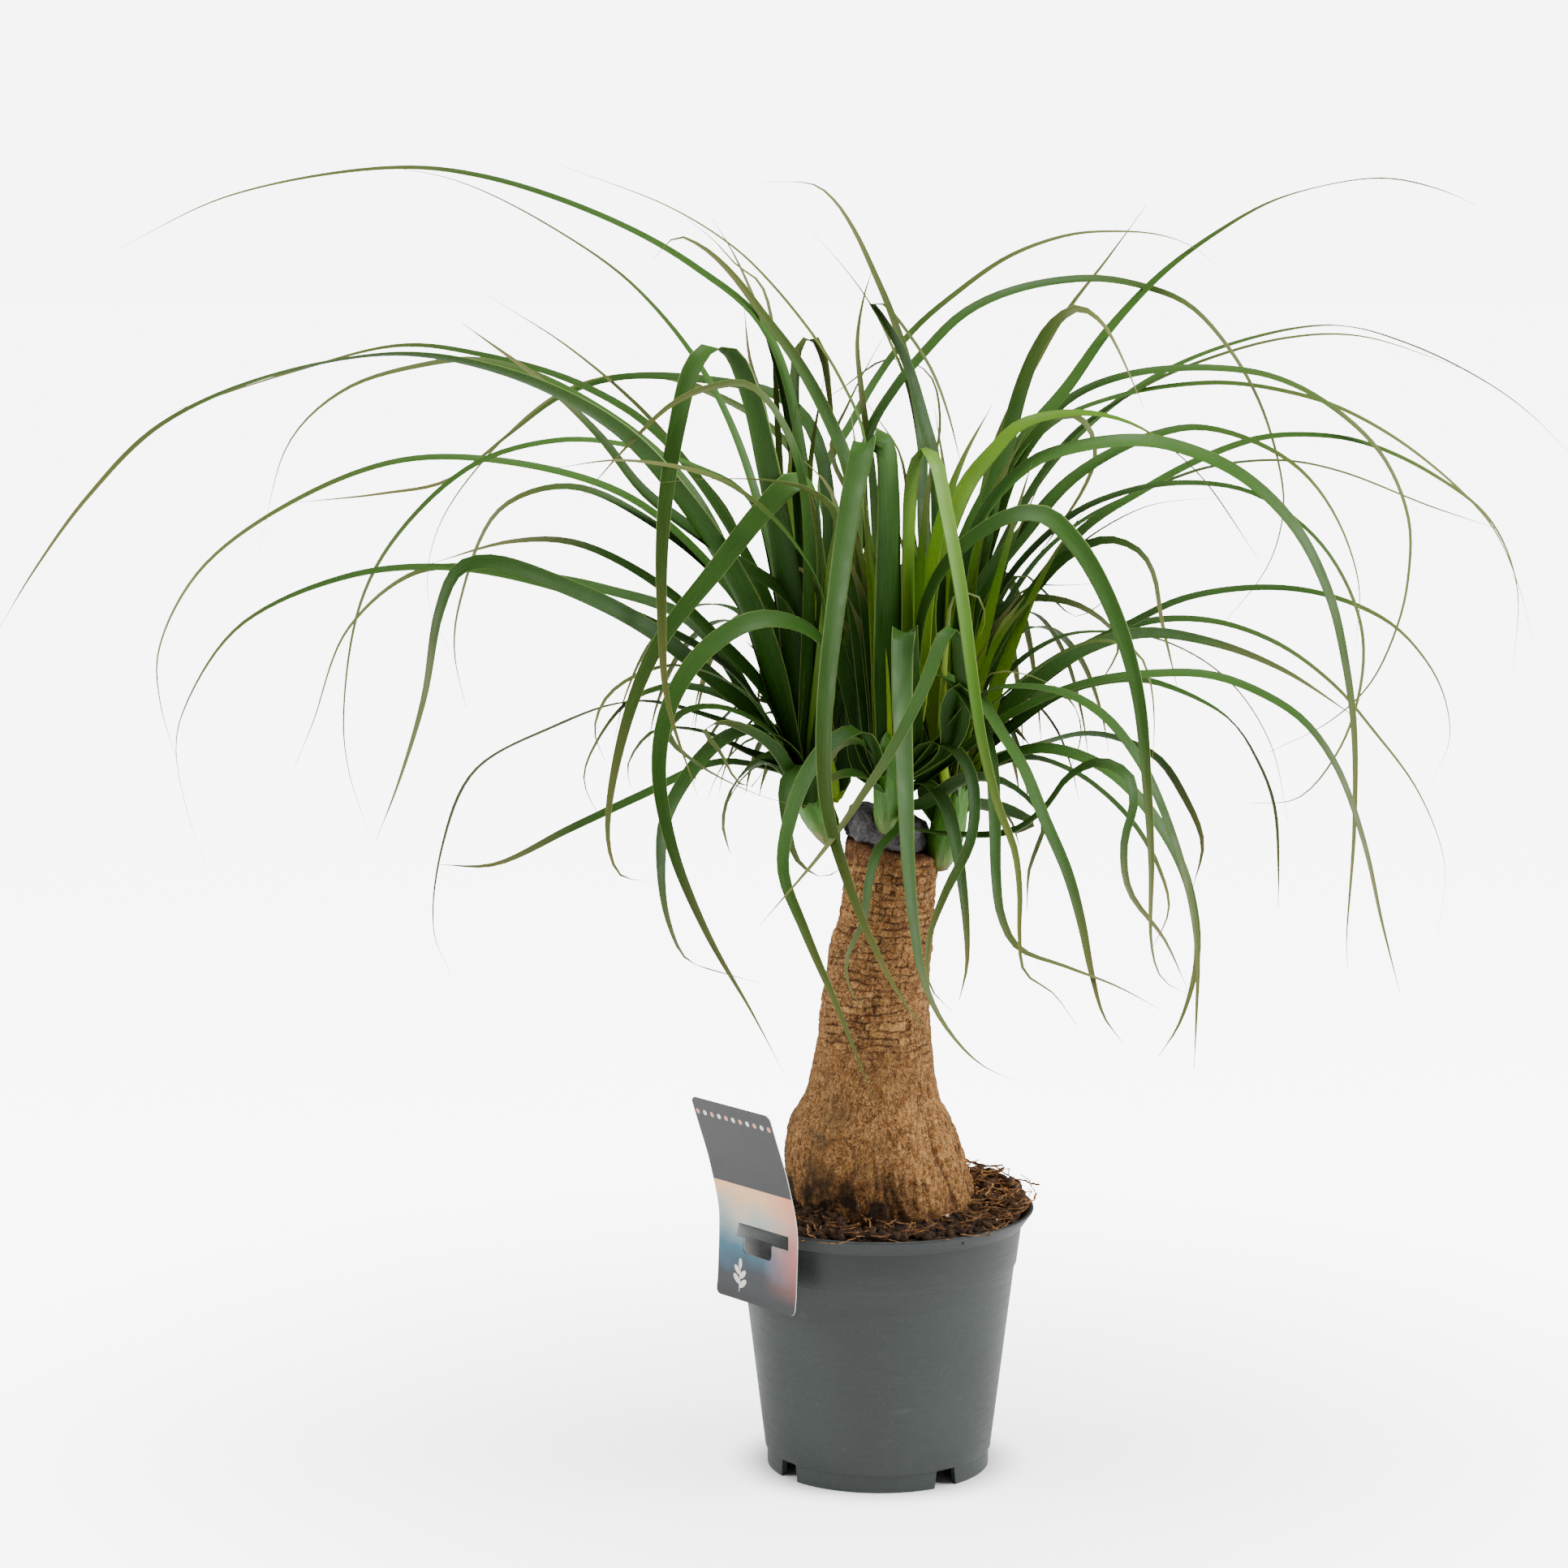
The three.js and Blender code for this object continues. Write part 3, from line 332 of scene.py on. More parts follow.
MOTTLE = make_mottle()
SCUFFS = make_scuffs()
CRINKLE = make_crinkle()
print("shader groups:", MOTTLE.name, SCUFFS.name, CRINKLE.name)

# %% [markdown]
# ## Light and floor
# The photograph is a packshot: a white sweep and a large soft light from the front and above, with
# no hard shadow. A pale floor, a bright even world and three broad area lights give the same.

# %% Floor and light
FLOOR_SIZE = 30.0
NEAR_GLOW, FAR_GLOW = 2.8, 7.0
GLOW_SPREAD = (0.05, 0.75)      # metres from the pot's axis over which the glow rises
POT_SHADE = (0.056, 0.09)       # the glow fades out towards the pot, which leaves its contact shadow
SKY_LIGHT, SKY_SEEN = 0.27, 7.0


def camera_ray(tree):
    return add_node(tree, "ShaderNodeLightPath").outputs["Is Camera Ray"]


def studio_floor():
    """A pale floor that glows only to the camera, as a lit white sweep does, more so farther out."""
    mesh = bpy.data.meshes.new("floor")
    half = FLOOR_SIZE / 2
    corners = [(-half, -half, 0), (half, -half, 0), (half, half, 0), (-half, half, 0)]
    mesh.from_pydata(corners, [], [(0, 1, 2, 3)])
    obj = bpy.data.objects.new("floor", mesh)
    finish, tree, shader = material("floor_white", roughness=0.9)
    place = object_place(tree)
    grain = noise_value(tree, place, 0.5)
    tree.links.new(ramp(tree, grain, [(0.3, srgb(232, 232, 232)), (0.7, srgb(238, 238, 238))]),
                   shader.inputs["Base Color"])
    distance = add_node(tree, "ShaderNodeVectorMath", {0: place}, operation="LENGTH").outputs["Value"]
    spread, clear = [
        add_node(tree, "ShaderNodeMapRange", {0: distance, 1: near, 2: far, 3: low, 4: high},
                 interpolation_type="SMOOTHSTEP").outputs[0]
        for (near, far), low, high in ((GLOW_SPREAD, NEAR_GLOW, FAR_GLOW), (POT_SHADE, 0.0, 1.0))]
    strength = maths(tree, "MULTIPLY", maths(tree, "MULTIPLY", spread, clear), camera_ray(tree))
    glow = add_node(tree, "ShaderNodeEmission", {"Strength": strength})
    both = add_node(tree, "ShaderNodeAddShader", {0: shader.outputs[0], 1: glow.outputs[0]})
    tree.links.new(both.outputs[0], tree.nodes["Material Output"].inputs["Surface"])
    mesh.materials.append(finish)
    bpy.context.scene.collection.objects.link(obj)
    return obj


def area_light(name, place, target, size, power):
    data = bpy.data.lights.new(name, "AREA")
    data.shape = "DISK"
    data.size = size
    data.energy = power
    obj = bpy.data.objects.new(name, data)
    obj.location = place
    obj.rotation_euler = (Vector(target) - Vector(place)).to_track_quat("-Z", "Y").to_euler()
    bpy.context.scene.collection.objects.link(obj)
    return obj


world = bpy.data.worlds.new("studio")
world.use_nodes = True
sky = world.node_tree
background = sky.nodes["Background"]
background.inputs["Color"].default_value = (1, 1, 1, 1)
seen = add_node(sky, "ShaderNodeMapRange", {0: camera_ray(sky), 3: SKY_LIGHT, 4: SKY_SEEN})
sky.links.new(seen.outputs[0], background.inputs["Strength"])
bpy.context.scene.world = world
studio_floor()
area_light("right_box", (1.7, -0.25, 1.1), (0, 0, 0.35), 1.1, 64)
area_light("left_box", (-1.8, -0.1, 1.0), (0, 0, 0.35), 1.1, 47)
area_light("overhead", (0.1, -0.35, 2.3), (0, 0, 0.4), 1.5, 58)
print("floor and lights ready")

# %% [markdown]
# ## Pot
# A nursery pot is thin moulded plastic: a tapering wall, a faint step, a sloping rim and a foot
# ring with four drain notches. It is a turned shape, so one outline is spun about the axis, and the
# notches are cut with boolean wedges. The real pot is satin. Its colour carries painted shade under
# the rim and a painted highlight, a bright line, at the flange's lower edge.

# %% Pot sizes
POT = dict(height=147, rim=86, flange_foot=80, flange_height=8.5, wall=1.7, step_height=115.5, step=1,
           foot=61.7, foot_height=10, floor=11)
NOTCH = dict(angles=(36, 126, 216, 306), width=15, top=12, height=10.4)
NUB = dict(azimuth=-58, reach=83.6, height=143, radius=1.3)
POT_COLUMNS = 180


def pot_outside(z):
    """Radius of the pot's outer face between its foot step and its flange."""
    top = POT["height"] - POT["flange_height"]
    part = (z - POT["foot_height"]) / (top - POT["foot_height"])
    low = POT["foot"] + 1.2
    high = POT["flange_foot"] - 0.5 - POT["step"]
    return low + (high - low) * part + (POT["step"] if z > POT["step_height"] else 0)


def pot_profile():
    flange = POT["height"] - POT["flange_height"]
    wall, foot, rim, top = POT["wall"], POT["foot"], POT["rim"], POT["height"]
    step = POT["step_height"]
    outer = [(0, POT["floor"]), (foot - 3.4, POT["floor"]), (foot - 3.4, 0.3), (foot - 3.1, 0),
             (foot - 0.3, 0), (foot, 0.3), (foot, 9.6), (foot + 0.3, 10), (pot_outside(10) - 0.3, 10.1),
             (pot_outside(10), 10.6)]
    outer += [(pot_outside(z), z) for z in (30, 50, 70, 90, 105, step - 0.6)]
    outer += [(pot_outside(step) + 0.3, step), (pot_outside(step + 1) - 0.25, step + 0.7),
              (pot_outside(step + 1), step + 1.3), (pot_outside(128), 128),
              (pot_outside(flange), flange - 0.4)]
    lip = [(POT["flange_foot"] + 0.5, flange - 0.3), (POT["flange_foot"] + 0.9, flange + 0.3),
           (rim - 0.35, top - 1.6), (rim, top - 0.9), (rim - 0.1, top - 0.35), (rim - 0.5, top),
           (rim - wall, top), (rim - wall - 0.4, top - 0.3)]
    inner = [(POT["flange_foot"] - wall + 0.4, flange + 0.8), (pot_outside(flange) - wall, flange - 1)]
    inner += [(pot_outside(z) - wall, z) for z in (100, 50, 20)]
    inner += [(pot_outside(12) - wall - 0.6, POT["floor"] + wall), (0, POT["floor"] + wall)]
    return outer + lip + inner


# %% Pot finish and mesh
def pot_finish():
    finish, tree, shader = material("moulded_grey", roughness=0.42, specular=0.45)
    place = object_place(tree)
    tone = use_group(tree, MOTTLE, {"Place": place, "Size": 0.05, "Dark": srgb(37, 44, 42),
                                    "Light": srgb(44, 52, 49), "Sharpness": 1.6})["Colour"]
    rubs = use_group(tree, SCUFFS, {"Place": place, "Size": 0.02, "Amount": 0.18})["Mask"]
    colour = blend_colours(tree, rubs, tone, srgb(92, 96, 94))
    dust = ramp(tree, noise_value(tree, place, 0.0012, detail=2), [(0.66, 0.0), (0.74, 0.35)])
    colour = blend_colours(tree, dust, colour, srgb(92, 86, 74))
    height = axes(tree, place)["Z"]
    # Painted shade: the wall is darkened by height from the step up to under the flange, as the rim shades it, and
    # the flange itself somewhat less.
    painted_rim_shade = ramp(tree, height, [(0.1, 0.0), (0.1155, 0.3), (0.137, 0.75), (0.1382, 0.85), (0.1395, 0.5)])
    colour = blend_colours(tree, painted_rim_shade, colour, srgb(24, 28, 26))
    # Painted highlight: a thin pale line at the flange's lower edge, where the lip catches the light.
    painted_rim_highlight = ramp(tree, height, [(0.1382, 0.0), (0.139, 0.7), (0.1398, 0.0)])
    colour = blend_colours(tree, painted_rim_highlight, colour, srgb(104, 108, 104))
    tree.links.new(colour, shader.inputs["Base Color"])
    grain = noise_value(tree, place, 0.0006, detail=3)
    waves = noise_value(tree, place, 0.02, stretch=(1, 1, 0.12))
    rough = maths(tree, "ADD", maths(tree, "MULTIPLY", waves, 0.18), 0.33)
    tree.links.new(maths(tree, "ADD", rough, maths(tree, "MULTIPLY", rubs, 0.4)), shader.inputs["Roughness"])
    tree.links.new(bump(tree, grain, 0.00006, 0.6, bump(tree, waves, 0.0004, 0.35)), shader.inputs["Normal"])
    return finish


def apply_modifiers(obj):
    """The object's evaluated mesh, as a plain one."""
    depsgraph = bpy.context.evaluated_depsgraph_get()
    return bpy.data.meshes.new_from_object(obj.evaluated_get(depsgraph), depsgraph=depsgraph)


def scratch_object(name, mesh):
    """A helper object that is deleted before the end."""
    obj = bpy.data.objects.new(name, mesh)
    bpy.context.scene.collection.objects.link(obj)
    return obj


def cut(base, cutters):
    """The base mesh less each cutter mesh."""
    target = scratch_object("cut_base", base)
    tools = [scratch_object("cut_tool", mesh) for mesh in cutters]
    for tool in tools:
        modifier = target.modifiers.new("cut", "BOOLEAN")
        modifier.operation = "DIFFERENCE"
        modifier.solver = "EXACT"
        modifier.object = tool
    result = apply_modifiers(target)
    for obj in [target, *tools]:
        bpy.data.objects.remove(obj)
    return result


def notch_wedge(angle):
    """A wedge through the foot ring, narrower at its top."""
    low, high, depth = NOTCH["width"] / 2, NOTCH["top"] / 2, NOTCH["height"]
    near, far = POT["foot"] - 8, POT["foot"] + 4
    section = [(-low, -1), (low, -1), (high, depth), (-high, depth)]
    turn = math.radians(angle)
    points = [(*along_heading(turn, reach, side), z) for reach in (near, far) for side, z in section]
    faces = [(0, 1, 2, 3), (7, 6, 5, 4), (0, 4, 5, 1), (1, 5, 6, 2), (2, 6, 7, 3), (3, 7, 4, 0)]
    return mesh_from("notch", points, faces, smooth=False)


def sharp_by_angle(mesh, degrees=30):
    """Marks the mesh's creases sharp, so that smooth shading stops at them."""
    work = bmesh.new()
    work.from_mesh(mesh)
    for edge in work.edges:
        crease = len(edge.link_faces) == 2 and edge.calc_face_angle(0) > math.radians(degrees)
        edge.smooth = not crease
    work.to_mesh(mesh)
    work.free()
    mesh.polygons.foreach_set("use_smooth", [True] * len(mesh.polygons))


pot_body = mesh_from("pot_body", *lathe(pot_profile(), POT_COLUMNS))
pot_mesh = cut(pot_body, [notch_wedge(angle) for angle in NOTCH["angles"]])
sharp_by_angle(pot_mesh)
POT_FINISH = pot_finish()
piece("nursery_pot", pot_mesh, POT_FINISH, "pot")


def rim_nub():
    """The small pip that the mould leaves on the flange."""
    turn = math.radians(NUB["azimuth"])
    out = Vector((math.cos(turn), math.sin(turn), 0))
    work = bmesh.new()
    bmesh.ops.create_uvsphere(work, u_segments=16, v_segments=10, radius=NUB["radius"] * MM)
    bmesh.ops.translate(work, verts=work.verts, vec=(out * NUB["reach"] + Vector((0, 0, NUB["height"]))) * MM)
    mesh = bpy.data.meshes.new("nub")
    work.to_mesh(mesh)
    work.free()
    mesh.polygons.foreach_set("use_smooth", [True] * len(mesh.polygons))
    return mesh


piece("rim_nub", rim_nub(), POT_FINISH)

# %% [markdown]
# ## Trunk
# The trunk is one turned form that leans a little and swells at the base. Up the neck it is ringed
# by fine cracks where leaves once grew; low down it splits into upright corky ribs. Both patterns
# are real relief here: each point of a fine skin is pushed in or out by layers of noise, and the
# depth is stored on the point, so that the finish can darken the cracks and bleach the ridges.

# %% Trunk form
TRUNK = [
    (99, 0, 24), (108, 0, 40), (124, 0.5, 48.5), (146, 0.6, 51.6), (160, -0.8, 51.3), (175, -2.8, 49.7),
    (186, -4, 47.3), (196, -4.9, 44), (204, -4.8, 39.4), (214, -3.7, 35.8), (228, -3.3, 33.3),
    (244, -2.6, 31.4), (262, -2.1, 30), (276, -1.1, 28.6), (295, 1.1, 28.6), (308, 3.5, 26.5),
    (325, 5.4, 25.8), (342, 6.7, 26.1),
]
TRUNK_TOP = dict(centre=6.8, level=349, slope=-0.22, radius=23.5)
BARK_STEP = 0.7
NECK_SCALES = (4.2, 38)      # the rows' height in mm, and the scales in a row
BULB_SCALES = (2.7, 100)
BARK_COLUMNS = 290
RING_ZONE = (208, 252)      # heights between which flecks give way to rows of scales


def trunk_section(z):
    """Lean and radius at a height, by smooth interpolation of the sections."""
    heights = [row[0] for row in TRUNK]
    i = min(max(int(np.searchsorted(heights, z)) - 1, 0), len(TRUNK) - 2)
    part = min(max((z - heights[i]) / (heights[i + 1] - heights[i]), 0), 1)
    result = []
    for k in (1, 2):
        row = [TRUNK[min(max(i + j, 0), len(TRUNK) - 1)][k] for j in (-1, 0, 1, 2)]
        spread = [TRUNK[min(max(i + j, 0), len(TRUNK) - 1)][0] for j in (-1, 0, 1, 2)]
        m0 = (row[2] - row[0]) / max(spread[2] - spread[0], 1) * (spread[2] - spread[1])
        m1 = (row[3] - row[1]) / max(spread[3] - spread[1], 1) * (spread[2] - spread[1])
        s2, s3 = part ** 2, part ** 3
        result.append(row[1] * (2 * s3 - 3 * s2 + 1) + m0 * (s3 - 2 * s2 + part)
                      + row[2] * (3 * s2 - 2 * s3) + m1 * (s3 - s2))
    return result


def trunk_top(x):
    return TRUNK_TOP["level"] + TRUNK_TOP["slope"] * (x - TRUNK_TOP["centre"])


def scales(x, y, z, turn, girth, tall, count, warp):
    """Rows of corky scales round the trunk: how deep the crack at a point is, and its scale's tone."""
    row = (z + warp) / tall
    r = math.floor(row)
    place = turn / math.tau * count + 1.3 * noise.noise(Vector((x / 9, y / 9, r * 3.7)))
    column = math.floor(place)
    beside = min(place - column, column + 1 - place) * math.tau * girth / count
    above = min(row - r, r + 1 - row) * tall
    broken = smoothstep(noise.noise(Vector((x / 10, y / 10, r * 5.3))), -0.3, 0.15)
    ring = max(0.0, 1 - above / 0.85) * broken
    parted = smoothstep(noise.noise(Vector((x / 6, y / 6, r * 3.1 + 50))), -0.1, 0.25)
    split = max(0.0, 1 - beside / 0.7) * parted
    return max(ring, 0.85 * split), noise.cell(Vector(((column % count) * 1.37 + 0.5, r * 2.11 + 0.5, 0.5)))


def bark_relief(x, y, z, turn, girth):
    """How far the bark stands out in mm, how deep its crack is, its scale's tone, and how ringed it is."""
    spot = Vector((x, y, z))
    neck = smoothstep(z + 16 * noise.noise(Vector((x / 30, y / 30, 5))), *RING_ZONE)
    warp = 2.6 * noise.noise(spot / 17) + 0.9 * noise.noise(spot / 5)
    deep, tone = scales(x, y, z, turn, girth, *NECK_SCALES, warp)
    low_deep, low_tone = scales(x, y, z, turn + 0.03 * noise.noise(spot / 6), girth, *BULB_SCALES, 2.2 * warp)
    flake = noise.noise(spot / 1.3)
    grain = noise.noise(Vector((x / 2.0, y / 2.0, z / 8)) + Vector((0.6, 0.6, 0.6)) * noise.noise(spot / 5))
    lumps = noise.noise(Vector((x / 9, y / 9, z / 11 + 7)))
    streak = noise.noise(Vector((x / 3.6, y / 3.6, z / 60))) * smoothstep(x, -35, 30)
    low_deep = max(0.4 * low_deep, 0.55 * smoothstep(-grain - 0.8 * streak, 0.35, 0.8))
    deep = neck * deep + (1 - neck) * low_deep
    tone = neck * tone + (1 - neck) * min(max(0.3 * low_tone + 0.35 + 0.8 * grain + 0.8 * streak, 0), 1)
    low_out = 0.6 * grain + 1.3 * streak
    out = 0.5 * neck * (tone - 0.5) + (1 - neck) * low_out - 0.75 * deep + 0.5 * lumps + 0.3 * flake
    return out, deep, tone, neck


def trunk_mesh():
    top_ring = TRUNK_TOP["level"] - 8
    heights = list(np.arange(118, top_ring, BARK_STEP))
    points, looks = [], []
    for z in heights:
        lean, radius = trunk_section(z)
        for c in range(BARK_COLUMNS):
            turn = math.tau * c / BARK_COLUMNS
            dx, dy = math.cos(turn), math.sin(turn)
            out, deep, tone, neck = bark_relief(lean + radius * dx, radius * dy, z, turn, radius)
            sway = 0.35 * noise.noise(Vector((dx * 2, dy * 2, z / 25)))
            ribs = 0.9 * math.sin(11 * (turn + sway) + 0.4) + 0.5 * math.sin(37 * (turn + sway))
            rib_share = smoothstep(235 - z, 0, 60) * (0.5 + 0.5 * smoothstep(dx, -0.2, 0.6))
            reach = radius + out + ribs * rib_share
            points.append((lean + reach * dx, reach * dy, z))
            tone += 0.22 * ribs * rib_share
            deep = max(deep, 0.75 * smoothstep(-ribs, 0.5, 1.3) * rib_share)
            looks.append((deep, min(max(tone, 0), 1), neck))
    rows = len(heights)
    lean = trunk_section(top_ring)[0]
    for inset, rise in ((0.0, 0.25), (0.35, 0.65), (1.3, 0.93), (2.6, 1.0), (6, 0.99), (12, 0.97)):
        start = trunk_section(342)[1] - inset
        for c in range(BARK_COLUMNS):
            turn = math.tau * c / BARK_COLUMNS
            dx, dy = math.cos(turn), math.sin(turn)
            x, y = lean + start * dx, start * dy
            z = top_ring + (trunk_top(x) - top_ring) * rise
            ragged = 1.2 * noise.noise(Vector((x / 4, y / 4, 3))) * rise
            out, deep, tone, neck = bark_relief(x, y, z, turn, start)
            points.append((x + out * dx * (1 - rise), y + out * dy * (1 - rise), z + ragged))
            looks.append((deep if rise < 0.9 else 0.75, tone, neck))
        rows += 1
    points += [(0.5, 0, 117.5), (TRUNK_TOP["centre"], 0, trunk_top(TRUNK_TOP["centre"]) - 0.4)]
    looks += [(0.5, 0.5, 1.0)] * 2
    faces = ring_faces(rows, BARK_COLUMNS)
    low, high = len(points) - 2, len(points) - 1
    start = (rows - 1) * BARK_COLUMNS
    faces += [(low, (c + 1) % BARK_COLUMNS, c) for c in range(BARK_COLUMNS)]
    faces += [(high, start + c, start + (c + 1) % BARK_COLUMNS) for c in range(BARK_COLUMNS)]
    mesh = mesh_from("trunk_skin", points, faces)
    for name, values in zip(("split", "level", "neck"), zip(*looks)):
        store(mesh, name, values)
    return mesh


# %% Trunk finish
def bark_finish():
    finish, tree, shader = material("corky_bark", roughness=0.9, specular=0.2)
    place = object_place(tree)
    height = axes(tree, place)["Z"]
    neck = attribute(tree, "neck")
    broad = use_group(tree, MOTTLE, {"Place": place, "Size": 0.02, "Dark": srgb(98, 58, 22),
                                     "Light": srgb(148, 98, 46), "Sharpness": 2.4})["Colour"]
    scale = ramp(tree, attribute(tree, "level"), [(0.0, srgb(92, 54, 22)), (0.35, srgb(134, 88, 42)),
                                                  (0.75, srgb(166, 116, 62)), (1.0, srgb(204, 156, 96))])
    colour = blend_colours(tree, ramp(tree, neck, [(0.0, 0.35), (1.0, 0.6)]), broad, scale)
    curls = noise_value(tree, place, 0.0024, detail=4, roughness=0.65, stretch=(1, 1, 1.6))
    pale = ramp(tree, curls, [(0.5, 0.0), (0.53, 0.75), (0.56, 0.0)])
    colour = blend_colours(tree, pale, colour, srgb(208, 170, 118))
    flakes = noise_value(tree, place, 0.0014, detail=5, roughness=0.7, stretch=(1, 1, 1.7))
    colour = blend_colours(tree, ramp(tree, flakes, [(0.6, 0.0), (0.68, 0.8)]), colour, srgb(214, 178, 128))
    flat = use_group(tree, CRINKLE, {"Place": place, "Size": 0.0042, "Upright": 0.5})
    upright = use_group(tree, CRINKLE, {"Place": place, "Size": 0.0028, "Upright": 3.2})
    short = use_group(tree, CRINKLE, {"Place": place, "Size": 0.0030, "Upright": 1.1})
    flat_share = maths(tree, "MULTIPLY", flat["Crack"], 0.75)
    crack = maths(tree, "MAXIMUM", mix_values(tree, neck, upright["Crack"], flat_share),
                  maths(tree, "MULTIPLY", short["Crack"], 0.8))
    lip = maths(tree, "MAXIMUM", mix_values(tree, neck, upright["Lip"], flat["Lip"]),
                maths(tree, "MULTIPLY", short["Lip"], 0.8))
    # Partly painted highlight: the crack lips are partly pale bark and partly light caught on the raised edges.
    colour = blend_colours(tree, maths(tree, "MULTIPLY", lip, 0.6), colour, srgb(214, 162, 98))
    brown = ramp(tree, noise_value(tree, place, 0.0055, detail=6, roughness=0.75), [(0.52, 0.0), (0.64, 0.6)])
    colour = blend_colours(tree, brown, colour, srgb(92, 54, 22))
    colour = blend_colours(tree, ramp(tree, attribute(tree, "split"), [(0.15, 0.0), (0.8, 0.9)]), colour,
                           srgb(50, 25, 10))
    colour = blend_colours(tree, maths(tree, "MULTIPLY", crack, 0.72), colour, srgb(50, 28, 12))
    parts = axes(tree, place)
    patchy = ramp(tree, noise_value(tree, place, 0.02, detail=5), [(0.44, 0.0), (0.6, 0.6)])
    shade = maths(tree, "MULTIPLY", patchy,
                  maths(tree, "MULTIPLY", ramp(tree, height, [(0.2, 1.0), (0.235, 0.0)]),
                        ramp(tree, maths(tree, "ADD", parts["X"], 0.5), [(0.49, 1.0), (0.51, 0.0)])))
    colour = blend_colours(tree, shade, colour, srgb(72, 60, 38))
    stain = noise_value(tree, place, 0.018, detail=4)
    damp = maths(tree, "MULTIPLY", ramp(tree, stain, [(0.42, 0.0), (0.52, 0.95)]),
                 ramp(tree, height, [(0.162, 1.0), (0.185, 0.0)]))
    leftward = ramp(tree, maths(tree, "ADD", parts["X"], 0.5), [(0.5, 1.0), (0.525, 0.15)])
    damp = maths(tree, "MULTIPLY", damp, leftward)
    colour = blend_colours(tree, damp, colour, srgb(34, 20, 10))
    soiled = ramp(tree, height, [(0.149, 0.75), (0.153, 0.0)])
    colour = blend_colours(tree, soiled, colour, srgb(46, 26, 14))
    sawn = ramp(tree, height, [(0.338, 0.0), (0.346, 0.55)])
    colour = blend_colours(tree, sawn, colour, srgb(84, 48, 26))
    tree.links.new(colour, shader.inputs["Base Color"])
    fine = noise_value(tree, place, 0.0009, detail=6, roughness=0.7)
    mid = noise_value(tree, place, 0.0028, detail=6, roughness=0.65, stretch=(1, 1, 0.55))
    relief = maths(tree, "SUBTRACT", 1.0, crack)
    rough_bark = bump(tree, fine, 0.0006, 0.7, bump(tree, mid, 0.0012, 0.7))
    tree.links.new(bump(tree, relief, 0.0007, 0.9, rough_bark), shader.inputs["Normal"])
    return finish


piece("swollen_trunk", trunk_mesh(), bark_finish(), "trunk")

# %% [markdown]
# ## Sealed cut
# The grower saws the trunk off so that side shoots sprout, and paints the wound with dark wax. The
# wax is lumpy and slightly glossy. A disc of rings pushed about by noise gives a poured look.

# %% Sealed cut
CUT = dict(thick=19, radius=23, columns=72)


def wax_mesh():
    columns = CUT["columns"]
    levels = [(0.0, 0.97), (0.12, 1.0), (0.35, 1.02), (0.6, 0.97), (0.8, 0.86), (0.93, 0.72), (0.99, 0.5),
              (1.0, 0.25)]
    points = []
    for part, wide in levels:
        for c in range(columns):
            turn = 2 * math.pi * c / columns
            reach = (CUT["radius"] + 1.1 * math.sin(3 * turn) + 0.7 * math.sin(5 * turn + 1)) * wide
            x = TRUNK_TOP["centre"] - 3 + reach * math.cos(turn)
            y = reach * math.sin(turn)
            spot = Vector((x / 5.5, y / 5.5, part * 2.6))
            push = 2.2 * noise.noise(spot) + 1.1 * noise.noise(spot * 3)
            z = trunk_top(x) + 0.35 + part * (CUT["thick"] + 2.2 * noise.noise(Vector((x / 9, y / 9, 0.5))))
            points.append((x + push * math.cos(turn), y + push * math.sin(turn), z + push * part))
    centre = TRUNK_TOP["centre"] - 3
    points.append((centre, 0, trunk_top(centre) + 0.35))
    points.append((centre, 0, trunk_top(centre) + CUT["thick"]))
    low, high = len(points) - 2, len(points) - 1
    start = (len(levels) - 1) * columns
    faces = ring_faces(len(levels), columns)
    faces += [(low, (c + 1) % columns, c) for c in range(columns)]
    faces += [(high, start + c, start + (c + 1) % columns) for c in range(columns)]
    return mesh_from("wax", points, faces)


def wax_finish():
    finish, tree, shader = material("sealing_wax", roughness=0.5, coat=0.15, coat_roughness=0.3)
    place = object_place(tree)
    colour = use_group(tree, MOTTLE, {"Place": place, "Size": 0.006, "Dark": srgb(34, 30, 31),
                                      "Light": srgb(68, 62, 63), "Sharpness": 3.0})["Colour"]
    tree.links.new(colour, shader.inputs["Base Color"])
    rough = noise_value(tree, place, 0.003, detail=4)
    tree.links.new(ramp(tree, rough, [(0.3, 0.35), (0.7, 0.75)]), shader.inputs["Roughness"])
    lumps = noise_value(tree, place, 0.008, detail=3, roughness=0.6)
    tree.links.new(bump(tree, rough, 0.002, 0.8, bump(tree, lumps, 0.006, 0.8)), shader.inputs["Normal"])
    return finish


piece("cut_wax", wax_mesh(), wax_finish(), "cut_cap")
